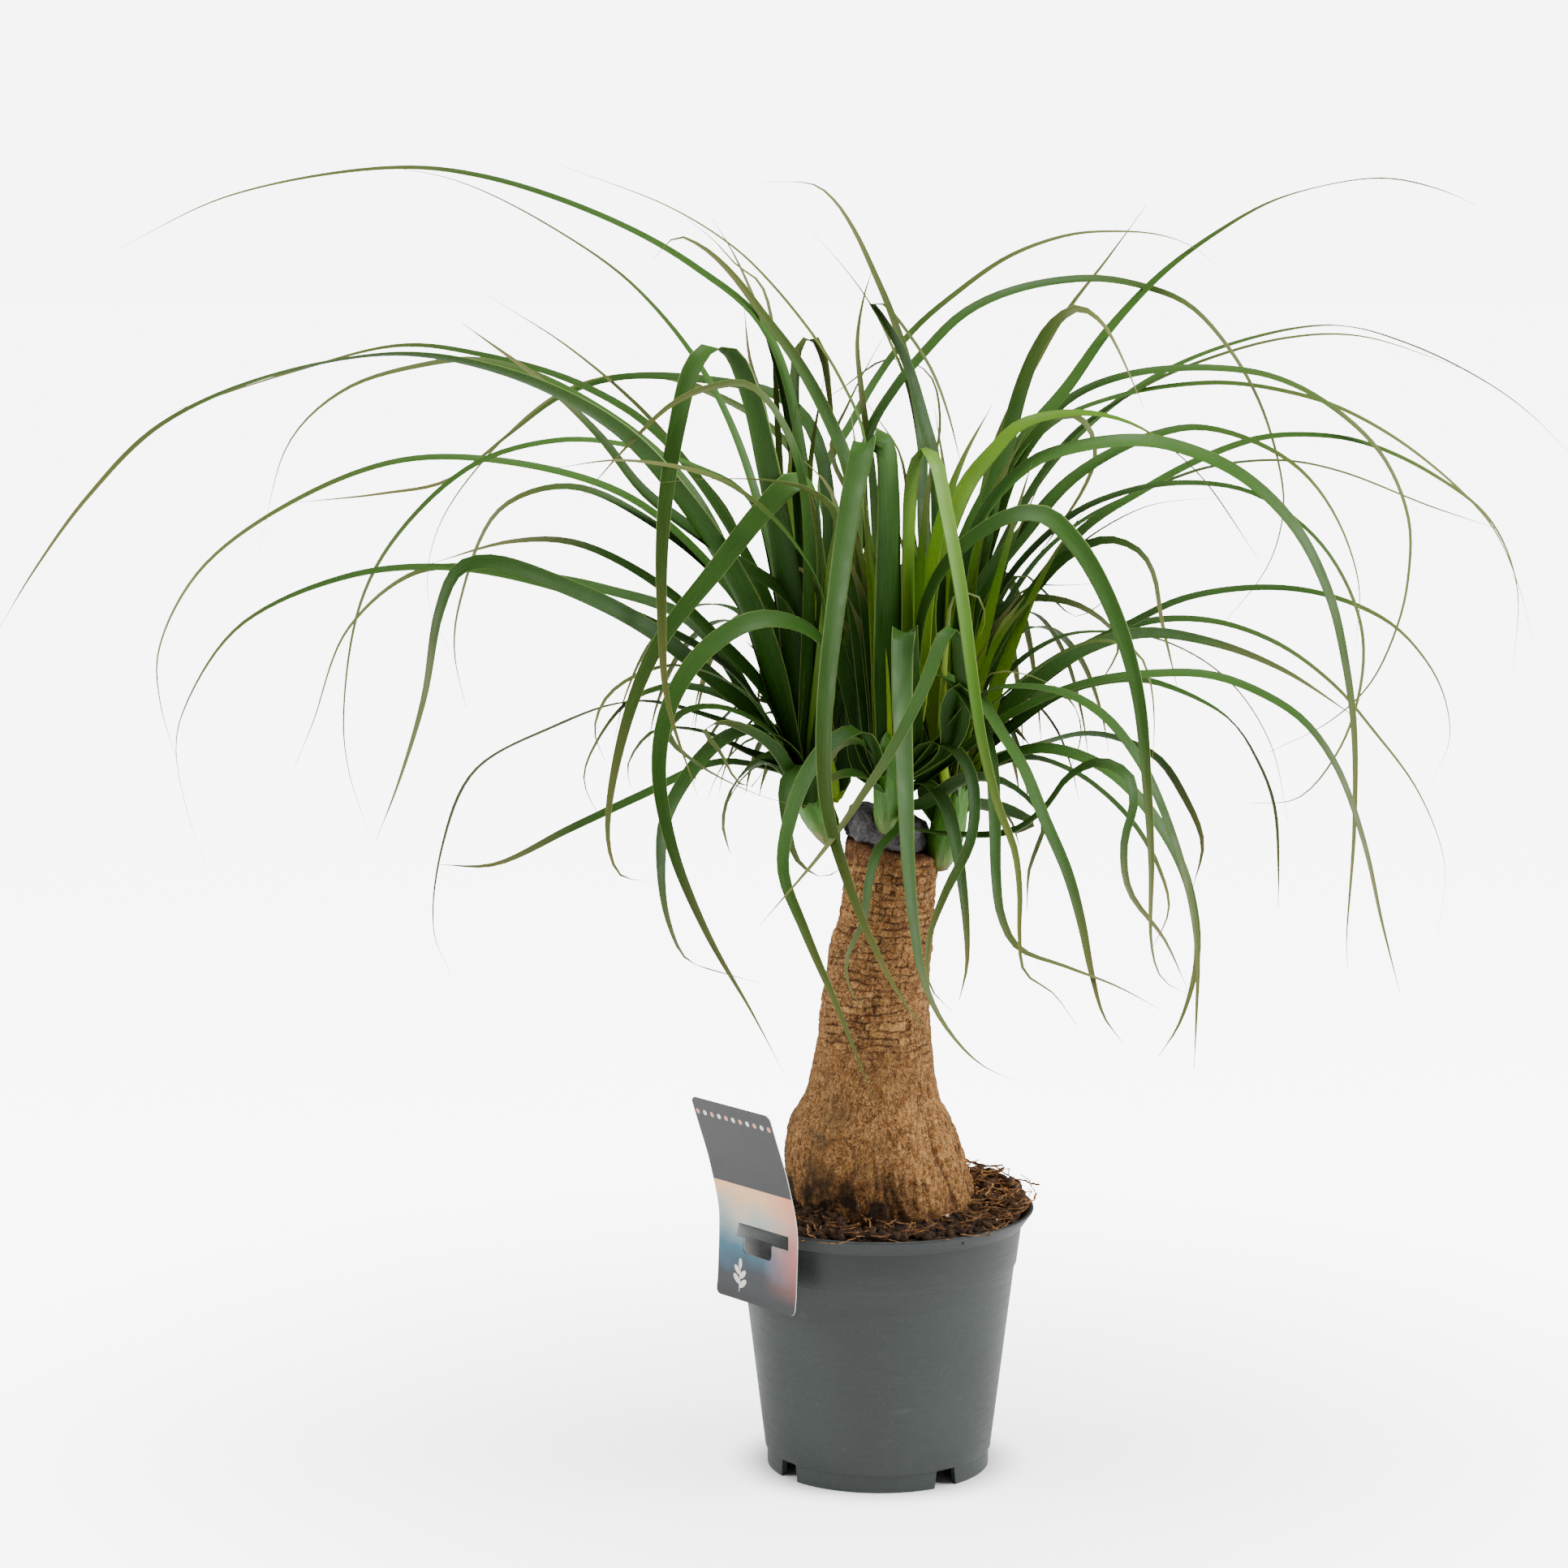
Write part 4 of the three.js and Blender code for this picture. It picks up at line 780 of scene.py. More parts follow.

# %% [markdown]
# ## Leaves
# A ponytail palm's leaves are long straps with a shallow channel, which rise from the shoot, arch
# over and hang. Each row below gives a leaf's full width, the depth of its middle and of its tip
# behind the trunk's axis, its roll at base, middle and tip, its tone, and its course as (across, up)
# points seen from the camera on the upright plane through the axis. The tone is partly the leaf's own
# green and partly painted light and shade: leaves that sit in shade are given darker tones.
# The same rows drive the CAD solids.

# %% Leaf rows
LEFT_LEAVES = [
    [13, 30, 60, -40, -20, -40, 0.5, [[-40, 540], [-62, 630], [-100, 664], [-147, 690], [-212, 712],
        [-262, 717], [-350, 702], [-410, 674]]],
    [10, -8, -20, -30, -30, 0, 0.4, [[-62, 520], [-90, 598], [-130, 651], [-170, 681], [-228, 710],
        [-285, 720]]],
    [17, -110, -300, 15, 15, -15, 0.6, [[-70, 480], [-120, 556], [-150, 583], [-200, 607], [-260, 618],
        [-330, 606], [-390, 579], [-430, 540], [-460, 500], [-480, 468]]],
    [12, 40, 90, -35, -15, -45, 0.4, [[-60, 480], [-115, 569], [-160, 600], [-220, 618], [-260, 622],
        [-320, 607], [-390, 584]]],
    [10, -40, -90, -45, -45, 0, 0.5, [[-100, 540], [-165, 596], [-215, 614], [-250, 611], [-290, 598],
        [-320, 570], [-338, 508]]],
    [10, 10, -60, -30, -30, -30, 0.6, [[-70, 470], [-100, 511], [-140, 542], [-200, 559], [-260, 560],
        [-320, 537], [-370, 500], [-393, 457], [-393, 428], [-383, 391]]],
    [12, 50, 110, -30, -30, -60, 0.3, [[-28, 530], [-38, 578], [-56, 595], [-90, 603], [-140, 605],
        [-172, 595], [-200, 575], [-235, 549], [-270, 542], [-317, 537]]],
    [6, 70, 130, 0, -45, -45, 0.4, [[-45, 560], [-100, 600], [-130, 606], [-172, 597], [-215, 560],
        [-241, 521], [-246, 485], [-231, 448]]],
    [12, -20, -60, -20, -15, -15, 0.6, [[-70, 538], [-100, 557], [-140, 569], [-175, 571], [-220, 558],
        [-262, 520], [-283, 482], [-293, 420], [-290, 387], [-276, 346]]],
    [13, -60, -150, -15, -15, 30, 0.5, [[-75, 440], [-120, 470], [-180, 492], [-235, 502], [-290, 497],
        [-350, 469], [-381, 422], [-385, 400], [-378, 362], [-370, 338]]],
    [13, -70, -160, -30, -85, -90, 0.2, [[-60, 412], [-90, 440], [-130, 471], [-170, 491], [-212, 505],
        [-229, 501], [-240, 478], [-249, 430], [-264, 382], [-276, 352]]],
    [9, 20, 60, -30, -30, -75, 0.4, [[-75, 480], [-130, 530], [-170, 546], [-207, 533], [-229, 482],
        [-232, 455], [-226, 425]]],
    [9, 90, 170, -45, -45, -75, 0.4, [[-100, 470], [-150, 490], [-200, 499], [-250, 500], [-290, 468],
        [-310, 416], [-321, 390]]],
    [13, -30, -60, -15, -45, -15, 0.3, [[-60, 430], [-90, 464], [-120, 492], [-165, 515], [-200, 516],
        [-247, 503]]],
    [8, 40, 80, -15, -15, -15, 0.4, [[-80, 525], [-100, 553], [-130, 588], [-170, 622], [-211, 648]]],
    [15, -39, -89, -60, -45, -90, 0.2, [[-45, 478], [-85, 510], [-128, 543], [-152, 573], [-180, 600],
        [-226, 634]]],
    [10, -50, -80, -75, -75, -30, 0.4, [[-45, 560], [-70, 600], [-90, 600], [-112, 591], [-135, 570],
        [-162, 540]]],
    [17, -50, -110, 15, 0, -35, 0.5, [[-49, 480], [-55, 523], [-62, 560], [-71, 597], [-81, 618],
        [-92, 621], [-101, 612], [-111, 575], [-118, 525], [-119, 475], [-116, 428], [-100, 377]]],
    [9, -60, -90, -60, -15, 15, 0.3, [[-55, 408], [-85, 425], [-107, 423], [-116, 411], [-100, 394],
        [-62, 375], [-30, 369]]],
    [16, -50, -130, -30, -55, -15, 0.5, [[-33, 470], [-32, 520], [-37, 545], [-46, 549], [-62, 535],
        [-90, 500], [-122, 458], [-141, 408], [-149, 352], [-142, 332], [-122, 329]]],
    [13, -75, -86, -45, -45, 0, 0.4, [[-24, 440], [-34, 464], [-52, 473], [-72, 472], [-98, 454],
        [-115, 426], [-121, 392], [-114, 348], [-95, 300], [-70, 255], [-52, 220]]],
    [13, -60, -100, -40, 0, 40, 0.3, [[-45, 400], [-62, 413], [-80, 411], [-97, 398], [-117, 365],
        [-120, 335], [-116, 306], [-106, 285], [-88, 278], [-66, 272]]],
    [12, 10, 20, 10, -30, -60, 0.3, [[-45, 385], [-65, 393], [-90, 395], [-130, 377], [-170, 358],
        [-212, 338], [-242, 338]]],
    [8, 50, 100, -30, 0, 0, 0.3, [[-50, 400], [-95, 421], [-135, 429], [-180, 414], [-222, 390],
        [-240, 348], [-245, 300], [-236, 277]]],
    [9, -50, -90, 0, -15, -15, 0.3, [[-70, 430], [-105, 448], [-128, 445], [-149, 431], [-156, 412],
        [-150, 395]]],
    [10, 30, 60, 0, -30, -60, 0.2, [[-60, 415], [-105, 437], [-135, 430], [-155, 406], [-162, 385],
        [-152, 361]]],
    [13, -25, -60, -40, -15, 15, 0.2, [[-50, 392], [-70, 400], [-100, 413], [-124, 412], [-138, 393],
        [-136, 380]]],
    [8, -60, -90, 40, 40, 40, 0.3, [[-60, 405], [-86, 417], [-96, 413], [-87, 400], [-78, 384],
        [-71, 381], [-62, 393]]],
    [12, -20, -45, 80, 45, -15, 0.4, [[-45, 385], [-60, 398], [-78, 386], [-86, 362], [-82, 344]]],
    [16, 8, 20, -30, -30, -60, 0.7, [[-20, 440], [-13, 505], [-17, 553], [-28, 582], [-45, 613],
        [-62, 636], [-82, 662], [-97, 675], [-110, 680], [-123, 668]]],
    [7, 8, 50, 0, 0, -30, 0.5, [[-14, 500], [-9, 572], [-21, 602], [-35, 625], [-60, 656], [-80, 675],
        [-114, 696], [-172, 718]]],
    [12, 20, 30, 0, 0, -15, 0.6, [[-44, 500], [-47, 550], [-52, 592], [-63, 632], [-78, 668], [-91, 690]]],
    [13, 30, 40, 0, 15, -15, 0.2, [[-56, 540], [-64, 590], [-71, 615], [-74, 643]]],
    [8, -45, -90, 40, 40, -15, 0.8, [[-27, 500], [-24, 530], [-39, 544], [-60, 549], [-90, 550],
        [-129, 547]]],
    [16, 24, 34, -15, -15, 0, 0.7, [[-44, 480], [-46, 560], [-47, 600], [-44, 622], [-38, 627],
        [-32, 618], [-28, 595], [-24, 555]]],
    [9, -50, -110, 0, -45, -45, 0.4, [[-31, 485], [-45, 513], [-65, 535], [-90, 551], [-140, 560],
        [-175, 556]]],
    [11, -42, -34, 0, 15, 15, 0.3, [[-42, 394], [-51, 385], [-52, 370], [-47, 344], [-41, 336],
        [-31, 331], [-21, 336]]],
    [7, 20, 40, -20, -20, -20, 0.4, [[-46, 420], [-52, 500], [-56, 580], [-60, 640], [-66, 656],
        [-78, 665], [-90, 678], [-105, 690]]],
    [10, 16, 24, 0, 0, 0, 1, [[-36, 440], [-39, 500], [-38, 560], [-31, 604]]],
    [9, 8, 14, 0, -10, 0, 0.95, [[-42, 430], [-47, 490], [-50, 545], [-46, 590]]],
    [11, -10, -26, 0, -20, 0, 0.9, [[-32, 420], [-31, 470], [-34, 520], [-44, 560]]],
]
MIDDLE_LEAVES = [
    [19, -75, -160, 5, 38, 0, 0.45, [[4, 440], [4, 500], [4, 545], [1, 569], [-7, 572], [-13, 553],
        [-18, 527], [-23, 491], [-29, 440], [-31, 405], [-29, 370], [-19, 333], [-6, 299], [10, 267],
        [29, 240]]],
    [12, -60, -130, 15, 15, 45, 0.8, [[14, 450], [15, 510], [17, 553], [23, 567], [29, 560], [36, 530],
        [44, 487], [50, 443], [56, 405], [65, 370], [74, 346], [77, 322], [77, 300], [80, 278],
        [96, 266], [109, 248]]],
    [16, -85, -140, 0, 0, -15, 0.3, [[16, 400], [15, 445], [13.5, 470], [12.5, 466], [12, 430], [14, 376],
        [16, 334], [19, 305], [24, 275], [35, 250], [55, 227], [79, 215]]],
    [10, -75, -150, -15, -15, -15, 0.4, [[43, 410], [43, 450], [40, 469], [35, 465], [24, 437], [6, 401],
        [-8, 379], [-30, 347], [-66, 304]]],
    [11, -70, -140, 0, 15, 15, 0.4, [[20, 420], [24, 440], [33, 444], [45, 434], [56, 414], [61, 395],
        [63, 362], [64, 330], [67, 309], [76, 292], [103, 281], [131, 270], [155, 257]]],
    [14, -62, -115, 45, 45, 30, 0.3, [[18, 440], [23, 478], [34, 502], [52, 520], [74, 531], [90, 530],
        [105, 516], [117, 498], [131, 467], [141, 430], [146, 384], [149, 341], [150, 291], [156, 274],
        [173, 264]]],
    [14, -70, -140, 0, 0, 60, 0.4, [[36, 400], [38, 428], [46, 438], [56, 428], [66, 412], [78, 393],
        [90, 364], [103, 334], [111, 306], [117, 277], [124, 253], [134, 239]]],
    [9, -60, -105, 0, 0, 0, 0.2, [[14, 392], [28, 406], [40, 403], [49, 390], [52, 370], [49, 349],
        [36, 322], [27, 295], [28, 270], [41, 255]]],
    [10, -55, -85, 0, 0, 15, 0.2, [[14, 382], [25, 384], [35, 374], [41, 354], [45, 330], [48, 300],
        [48, 280], [44, 262]]],
    [9, -52, -66, 15, 15, 30, 0.4, [[8, 378], [14, 366], [10, 358], [0, 348], [-6, 328], [-9, 306],
        [-17, 289], [-18, 275], [-11, 260], [-1, 256]]],
    [10, -112, -130, 0, -30, -15, 0.3, [[0, 392], [-10, 413], [-24, 408], [-38, 392], [-48, 368],
        [-53, 335], [-41, 301], [-23, 258], [-2, 204]]],
    [11, -70, -120, 0, 15, 45, 0.3, [[34, 410], [56, 434], [80, 437], [104, 432], [124, 419], [143, 394],
        [157, 364], [169, 327], [175, 290], [175, 255], [174, 223]]],
    [12, -55, -100, 40, 15, 60, 0.4, [[40, 398], [72, 422], [113, 439], [152, 444], [180, 443],
        [206, 434], [231, 418], [250, 392], [266, 349], [276, 307], [287, 266]]],
    [11, -45, -65, -45, -45, -60, 0.2, [[24, 372], [46, 386], [66, 385], [82, 374], [90, 361], [86, 347],
        [82, 335], [81, 312]]],
    [9, -40, -62, -80, -45, -30, 0.2, [[1, 385], [-4, 400], [-13, 407], [-23, 403], [-29, 388]]],
    [12, -50, -76, -15, -30, -30, 0.2, [[2, 376], [-5, 386], [-16, 389], [-26, 386], [-34, 376]]],
    [12, -45, -75, 0, 30, 30, 0.3, [[34, 356], [72, 357], [90, 370], [103, 387], [120, 395], [136, 387],
        [139, 372], [134, 350], [137, 324], [157, 296], [170, 268]]],
    [10, -34, -40, 10, 0, 0, 1, [[3, 430], [-2, 480], [-7, 520], [-10, 552]]],
    [9, -26, -20, 0, 0, 0, 1, [[12, 430], [16, 490], [19, 540], [24, 578]]],
    [13, -22, -14, 70, 55, 40, 0.95, [[18, 420], [24, 480], [32, 525], [44, 560], [60, 590]]],
    [13, -24, -20, 60, 40, 30, 0.9, [[14, 420], [19, 470], [23, 520], [27, 562]]],
    [13, -24, -30, -80, -60, -40, 0.1, [[-4, 410], [-11, 460], [-19, 510], [-28, 545], [-42, 560]]],
    [13, -14, -18, -80, -60, -40, 0.05, [[-6, 400], [-18, 440], [-30, 480], [-42, 500], [-58, 503]]],
    [13, -14, -10, -80, -70, -60, 0.05, [[-2, 410], [-7, 460], [-12, 510], [-18, 545]]],
    [13, -12, -6, -60, -60, -60, 0.1, [[-9, 390], [-14, 430], [-13, 475], [-6, 525]]],
    [10, -34, -30, -70, -60, -50, 0.9, [[0, 420], [-3, 470], [-7, 520], [-12, 555], [-17, 590]]],
]
RIGHT_LEAVES = [
    [10, 76, 60, 15, 15, 30, 0.5, [[-14, 490], [-32, 548], [-15, 582], [-4, 602], [16, 629], [40, 650],
        [69, 670], [100, 681], [123, 683], [150, 681], [170, 673], [191, 653]]],
    [10, 50, 90, 15, 30, 70, 0.3, [[-8, 520], [-7, 573], [8, 600], [21, 616], [44, 639], [72, 652],
        [112, 658], [140, 654], [165, 644], [187, 621], [205, 590], [217, 550], [218, 530], [210, 502],
        [180, 463]]],
    [17, 20, 50, 0, 30, 75, 0.7, [[48, 470], [58, 530], [68, 570], [76, 600], [84, 620], [93, 634],
        [106, 642], [118, 635], [126, 623], [142, 588]]],
    [14, 40, 130, 15, 15, -40, 0.7, [[42, 500], [60, 545], [80, 575], [100, 599], [122, 630], [150, 660],
        [179, 682], [211, 700], [250, 710], [274, 711], [300, 705], [319, 697]]],
    [8, 70, 110, 0, 30, 30, 0.5, [[60, 560], [87, 619], [101, 642], [121, 668], [142, 697]]],
    [9, 60, 100, 0, 30, 85, 0.4, [[45, 490], [75, 560], [100, 592], [132, 606], [177, 610], [212, 605],
        [242, 590], [271, 563], [286, 529], [287, 500], [282, 472], [267, 438], [245, 417], [212, 400]]],
    [9, 90, 200, -40, 15, 70, 0.4, [[50, 520], [89, 577], [125, 594], [180, 602], [220, 597], [251, 587],
        [291, 563], [331, 525], [347, 491], [355, 463]]],
    [12, 50, 150, 15, 15, 70, 0.5, [[55, 450], [83, 490], [110, 523], [142, 544], [171, 560], [204, 572],
        [231, 574], [260, 570], [298, 553], [331, 527], [346, 491], [345, 446]]],
    [11, 20, 40, 0, 15, 70, 0.4, [[60, 480], [100, 528], [132, 543], [165, 548], [200, 543], [231, 523],
        [250, 499], [262, 468], [262, 437], [251, 402], [229, 375], [203, 372]]],
    [14, 11, 21, 80, 30, 45, 0.5, [[50, 480], [81, 525], [100, 547], [121, 562], [148, 574], [171, 578],
        [200, 571], [227, 555], [247, 529], [260, 492], [259, 458]]],
    [15, -14, -34, 30, 30, 60, 0.5, [[50, 520], [79, 557], [100, 566], [135, 571], [159, 568],
        [194, 553], [224, 525], [244, 487], [254, 447], [259, 411], [260, 357], [257, 294], [258, 280]]],
    [15, -8, 10, 70, 45, -30, 0.84, [[24, 480], [35, 520], [48, 549], [60, 564], [75, 579], [95, 585],
        [118, 585], [142, 577], [171, 554], [206, 505]]],
    [13, 22, 30, 0, 30, 85, 0.6, [[52, 490], [60, 520], [71, 553], [81, 570], [92, 582], [103, 585],
        [112, 578], [116, 563], [110, 545], [84, 506]]],
    [9, 120, 300, 0, 0, 0, 0.4, [[50, 470], [75, 532], [101, 568], [142, 602], [189, 623], [244, 633],
        [284, 623], [327, 602], [352, 584], [373, 563]]],
    [10, 80, 150, 15, 0, 45, 0.4, [[55, 480], [77, 536], [103, 573], [136, 597], [171, 613], [218, 626],
        [258, 627], [318, 608]]],
    [9, 100, 180, 0, 0, 60, 0.3, [[50, 440], [80, 500], [110, 528], [150, 547], [180, 557], [218, 560],
        [249, 554], [298, 535], [334, 523]]],
    [6, 30, 50, 0, 0, 0, 0.5, [[60, 450], [85, 490], [110, 516], [144, 535], [170, 539], [193, 540]]],
    [14, 6, 16, 30, 30, 75, 0.5, [[50, 430], [62, 457], [79, 484], [101, 508], [123, 517], [140, 511],
        [148, 499], [153, 473], [162, 436]]],
    [12, 30, 60, 15, 15, 45, 0.4, [[45, 400], [70, 430], [100, 453], [135, 471], [165, 485], [206, 491],
        [242, 487], [278, 471], [300, 447], [309, 427], [311, 406], [301, 382]]],
    [8, 50, 110, 0, 30, 45, 0.4, [[45, 395], [75, 428], [105, 452], [140, 471], [178, 473], [215, 461],
        [247, 438], [269, 413], [295, 378], [310, 338], [307, 297]]],
    [12, -6, -16, 45, 45, 45, 0.3, [[46, 395], [63, 418], [85, 440], [107, 455], [141, 466], [180, 461],
        [219, 446], [262, 418]]],
    [8, 70, 110, -15, 15, 70, 0.3, [[50, 410], [72, 447], [98, 464], [118, 467], [154, 462], [189, 441],
        [213, 406], [224, 361]]],
    [13, 20, 30, 0, 15, -45, 0.4, [[45, 388], [72, 415], [100, 434], [135, 441], [157, 437], [191, 419],
        [206, 397], [216, 371], [219, 330], [219, 314]]],
    [13, -6, -22, 15, 30, 85, 0.4, [[48, 385], [62, 395], [80, 402], [97, 402], [121, 393], [141, 376],
        [159, 351], [170, 325], [175, 288], [166, 250], [154, 230]]],
    [13, 34, 44, -45, -30, -75, 0.3, [[44, 385], [60, 397], [83, 404], [110, 411], [131, 408],
        [152, 397], [166, 377], [177, 350], [172, 325]]],
    [12, 60, 84, -30, 30, 85, 0.2, [[50, 385], [80, 398], [106, 390], [123, 378], [140, 360], [153, 337],
        [159, 313], [149, 289]]],
    [10, 20, 30, 0, 30, 85, 0.3, [[42, 440], [55, 468], [71, 483], [91, 485], [110, 480], [126, 468],
        [130, 459], [115, 430]]],
    [10, 50, 70, 0, 0, 0, 0.5, [[55, 460], [76, 498], [92, 486], [107, 475], [130, 490]]],
    [12, 60, 74, 30, 60, 0, 0.3, [[50, 400], [70, 425], [90, 434], [104, 429], [110, 411], [104, 391]]],
    [14, 24, 30, -15, -30, -85, 0.3, [[45, 395], [58, 412], [70, 416], [82, 404]]],
    [11, 30, 40, 0, 0, -45, 0.6, [[2, 480], [-5, 555], [-11, 600], [-13, 625], [-9, 650], [-4, 665]]],
    [14, 24, 16, 0, -15, 30, 0.2, [[31, 520], [29, 560], [24, 579], [12, 617], [0, 637], [-5, 645],
        [2, 643], [14, 629], [27, 609], [36, 586], [44, 555]]],
    [10, 50, 126, 0, 0, -30, 0.2, [[23, 520], [22, 570], [15, 610], [5, 640], [-4, 661], [-15, 684],
        [-26, 700], [-37, 708], [-68, 709]]],
    [9, 50, 85, 15, 15, 15, 0.3, [[24, 540], [19, 579], [14, 601], [6, 621], [-4, 641], [-18, 661],
        [-43, 689]]],
    [8, 40, 50, 0, 0, 30, 0.4, [[16, 530], [10, 564], [0, 580], [-14, 599], [-24, 610]]],
    [7, 55, 60, 15, -15, 45, 0.5, [[-12, 530], [-27, 566], [-18, 590], [-7, 612], [6, 634], [17, 649]]],
    [9, 60, 92, 0, 30, -15, 0.4, [[26, 540], [32, 580], [27, 605], [14, 614], [1, 614], [-24, 597],
        [-50, 583]]],
    [14, 8, 16, -15, -45, -60, 0.2, [[45, 371], [60, 371], [76, 366], [84, 361], [74, 355]]],
    [8, 12, 20, 0, 0, -15, 0.3, [[50, 372], [65, 370], [72, 362], [77, 347]]],
    [8, -20, -40, 15, 15, 15, 0.5, [[40, 400], [90, 450], [120, 462], [140, 455], [147, 440],
        [149.7, 417], [148.8, 392]]],
    [5, 20, 30, 30, 30, 30, 0.2, [[44, 400], [58, 460], [79, 490], [102, 492], [118, 493]]],
    [6, -40, -60, 20, 20, 20, 0.95, [[34, 400], [36, 460], [41, 487], [53, 486], [57, 472], [54, 464]]],
    [5, -20, -30, 20, 20, 20, 0.4, [[42, 390], [50, 430], [61, 444], [80, 443], [97, 436]]],
    [10, 1, 5, 0, 0, 0, 1, [[44, 410], [48, 460], [53, 505], [62, 545]]],
    [10, 6, 12, 10, 10, 10, 1, [[48, 420], [59, 470], [72, 515], [90, 556]]],
    [9, 14, 20, 0, 0, 0, 0.95, [[36, 420], [38, 480], [36, 540], [29, 588]]],
    [13, -12, -22, 80, 70, 60, 0.9, [[42, 390], [47, 425], [56, 465], [69, 515], [82, 560]]],
    [13, 10, 6, 75, 60, 45, 0.9, [[36, 410], [42, 470], [56, 530], [78, 575]]],
    [12, 2, -4, 70, 50, 30, 0.9, [[52, 400], [70, 455], [92, 505], [112, 535]]],
]
HEADS = {
    "left": dict(base=(-27, 0, 350), lean=(-0.42, 0, 1), girth=10),
    "middle": dict(base=(4, -19, 356), lean=(-0.02, -0.22, 1), girth=7.5),
    "right": dict(base=(33, -5, 337), lean=(0.18, 0.05, 1), girth=9.5),
}
RULE = ("head", "headings", "count", "reach", "crest", "width", "tone")


def leaf_rules(rows):
    """Rules for leaves that aren't traced, each a dict with the fields of RULE."""
    return [dict(zip(RULE, row)) for row in rows]


# Painted shade: these leaves lie deep in the crown, and their low tones darken them for the shade there.
HIDDEN_LEAVES = leaf_rules([
    ("right", (52, 112), 11, (120, 235), (455, 505), (9, 14), 0.3),
    ("left", (80, 135), 8, (120, 235), (455, 505), (9, 14), 0.3),
])
LOW_LEAVES = leaf_rules([
    ("right", (30, 114), 6, (60, 110), (395, 430), (9, 13), 0.1),
    ("left", (110, 200), 6, (60, 110), (395, 430), (9, 13), 0.1),
])
CORE_LEAVES = leaf_rules([
    ("middle", (150, 215), 7, (12, 36), (440, 540), (12, 15), 0.05),
    ("middle", (20, 150), 7, (12, 36), (450, 545), (12, 15), 0.1),
    ("middle", (-50, 20), 5, (14, 34), (420, 480), (11, 14), 0.05),
    ("left", (-20, 60), 7, (14, 34), (440, 545), (12, 15), 0.1),
    ("left", (120, 250), 8, (20, 55), (410, 500), (11, 14), 0.1),
    ("right", (110, 200), 7, (14, 32), (430, 530), (12, 15), 0.15),
    ("right", (-50, 60), 9, (20, 60), (410, 500), (11, 14), 0.1),
])
ARCH = [(0.07, 0.4), (0.2, 0.76), (0.42, 0.98), (0.62, 0.97), (0.82, 0.78), (0.95, 0.5), (1, 0.3)]
SPEAR = [(0.12, 0.3), (0.32, 0.58), (0.6, 0.83), (1, 1)]
SWAY = 12
YOUNG = 0.92      # the tone of every third standing core leaf
SHOOT_ROOT = (8, 34)
SHOOT_SPREAD = (0.75, 0.3)
SEED = 11
print(len(LEFT_LEAVES), len(MIDDLE_LEAVES), len(RIGHT_LEAVES), "traced leaves")

# %% [markdown]
# A leaf's course passes through its points on a centripetal Catmull-Rom curve, which doesn't
# overshoot where the points are uneven. Each course is then sampled evenly, and at every sample the
# direction of the blade's width is worked out: level across the leaf's heading, then rolled.

# %% Leaf courses
def draws(seed):
    """A repeatable stream of draws between 0 and 1, the same one that the CAD source uses."""
    state = seed
    while True:
        state = (state * 1664525 + 1013904223) % 2 ** 32
        yield state / 2 ** 32


def between(pair, part):
    return pair[0] + (pair[1] - pair[0]) * part


def seen_at(across, up, depth):
    """The point at a given depth that the camera sees at (across, up)."""
    away = (depth - EYE.y) / -EYE.y
    return Vector((EYE.x + (across - EYE.x) * away, depth, EYE.z + (up - EYE.z) * away))


def root_point(head, towards):
    """A point inside a head's shoot: upright leaves start high in its heart, low ones on its flank."""
    base, lean = Vector(head["base"]), Vector(head["lean"]).normalized()
    heading = towards - base
    upright = min(max(heading.z / heading.length, 0), 1) ** 2
    out = Vector((heading.x, heading.y, 0)).normalized()
    return base + lean * between(SHOOT_ROOT, upright) + out * head["girth"] * between(SHOOT_SPREAD, upright)


def traced_course(head, middle, tip, trace):
    """The course of a traced leaf: its depth runs smoothly from its root, by its middle, to its tip."""
    base = head["base"]
    previous = (base[0], base[2] + 20)
    lengths, total = [], 0.0
    for x, z in trace:
        total += math.hypot(x - previous[0], z - previous[1])
        lengths.append(total)
        previous = (x, z)
    pull = 2 * middle - (base[1] + tip) / 2
    points = []
    for (x, z), length in zip(trace, lengths):
        s = length / total
        points.append(seen_at(x, z, base[1] * (1 - s) ** 2 + 2 * pull * s * (1 - s) + tip * s * s))
    return [root_point(head, points[1])] + points


def arch_course(head, heading, reach, crest, stops):
    """A leaf along one heading: one that arches over and hangs, or a new one that stands like a spear."""
    base = Vector(head["base"])
    dx, dy = math.cos(math.radians(heading)), math.sin(math.radians(heading))
    points = [base + Vector((dx * reach * out, dy * reach * out, (crest - base.z) * up)) for out, up in stops]
    return [root_point(head, points[1])] + points


def smooth_course(points, per_span=14):
    """A centripetal Catmull-Rom curve through the points, as a dense polyline."""
    rows = np.array([tuple(p) for p in points])
    rows = np.vstack([2 * rows[0] - rows[1], rows, 2 * rows[-1] - rows[-2]])
    dense = []
    for p0, p1, p2, p3 in zip(rows, rows[1:], rows[2:], rows[3:]):
        d0, d1, d2 = (max(np.linalg.norm(b - a), 1e-4) ** 0.5 for a, b in ((p0, p1), (p1, p2), (p2, p3)))
        m1 = ((p1 - p0) / d0 - (p2 - p0) / (d0 + d1) + (p2 - p1) / d1) * d1
        m2 = ((p2 - p1) / d1 - (p3 - p1) / (d1 + d2) + (p3 - p2) / d2) * d1
        for t in np.arange(per_span) / per_span:
            square, cube = 3 * (p2 - p1) - 2 * m1 - m2, m1 + m2 - 2 * (p2 - p1)
            dense.append(p1 + m1 * t + square * t ** 2 + cube * t ** 3)
    dense.append(rows[-2])
    return np.array(dense)


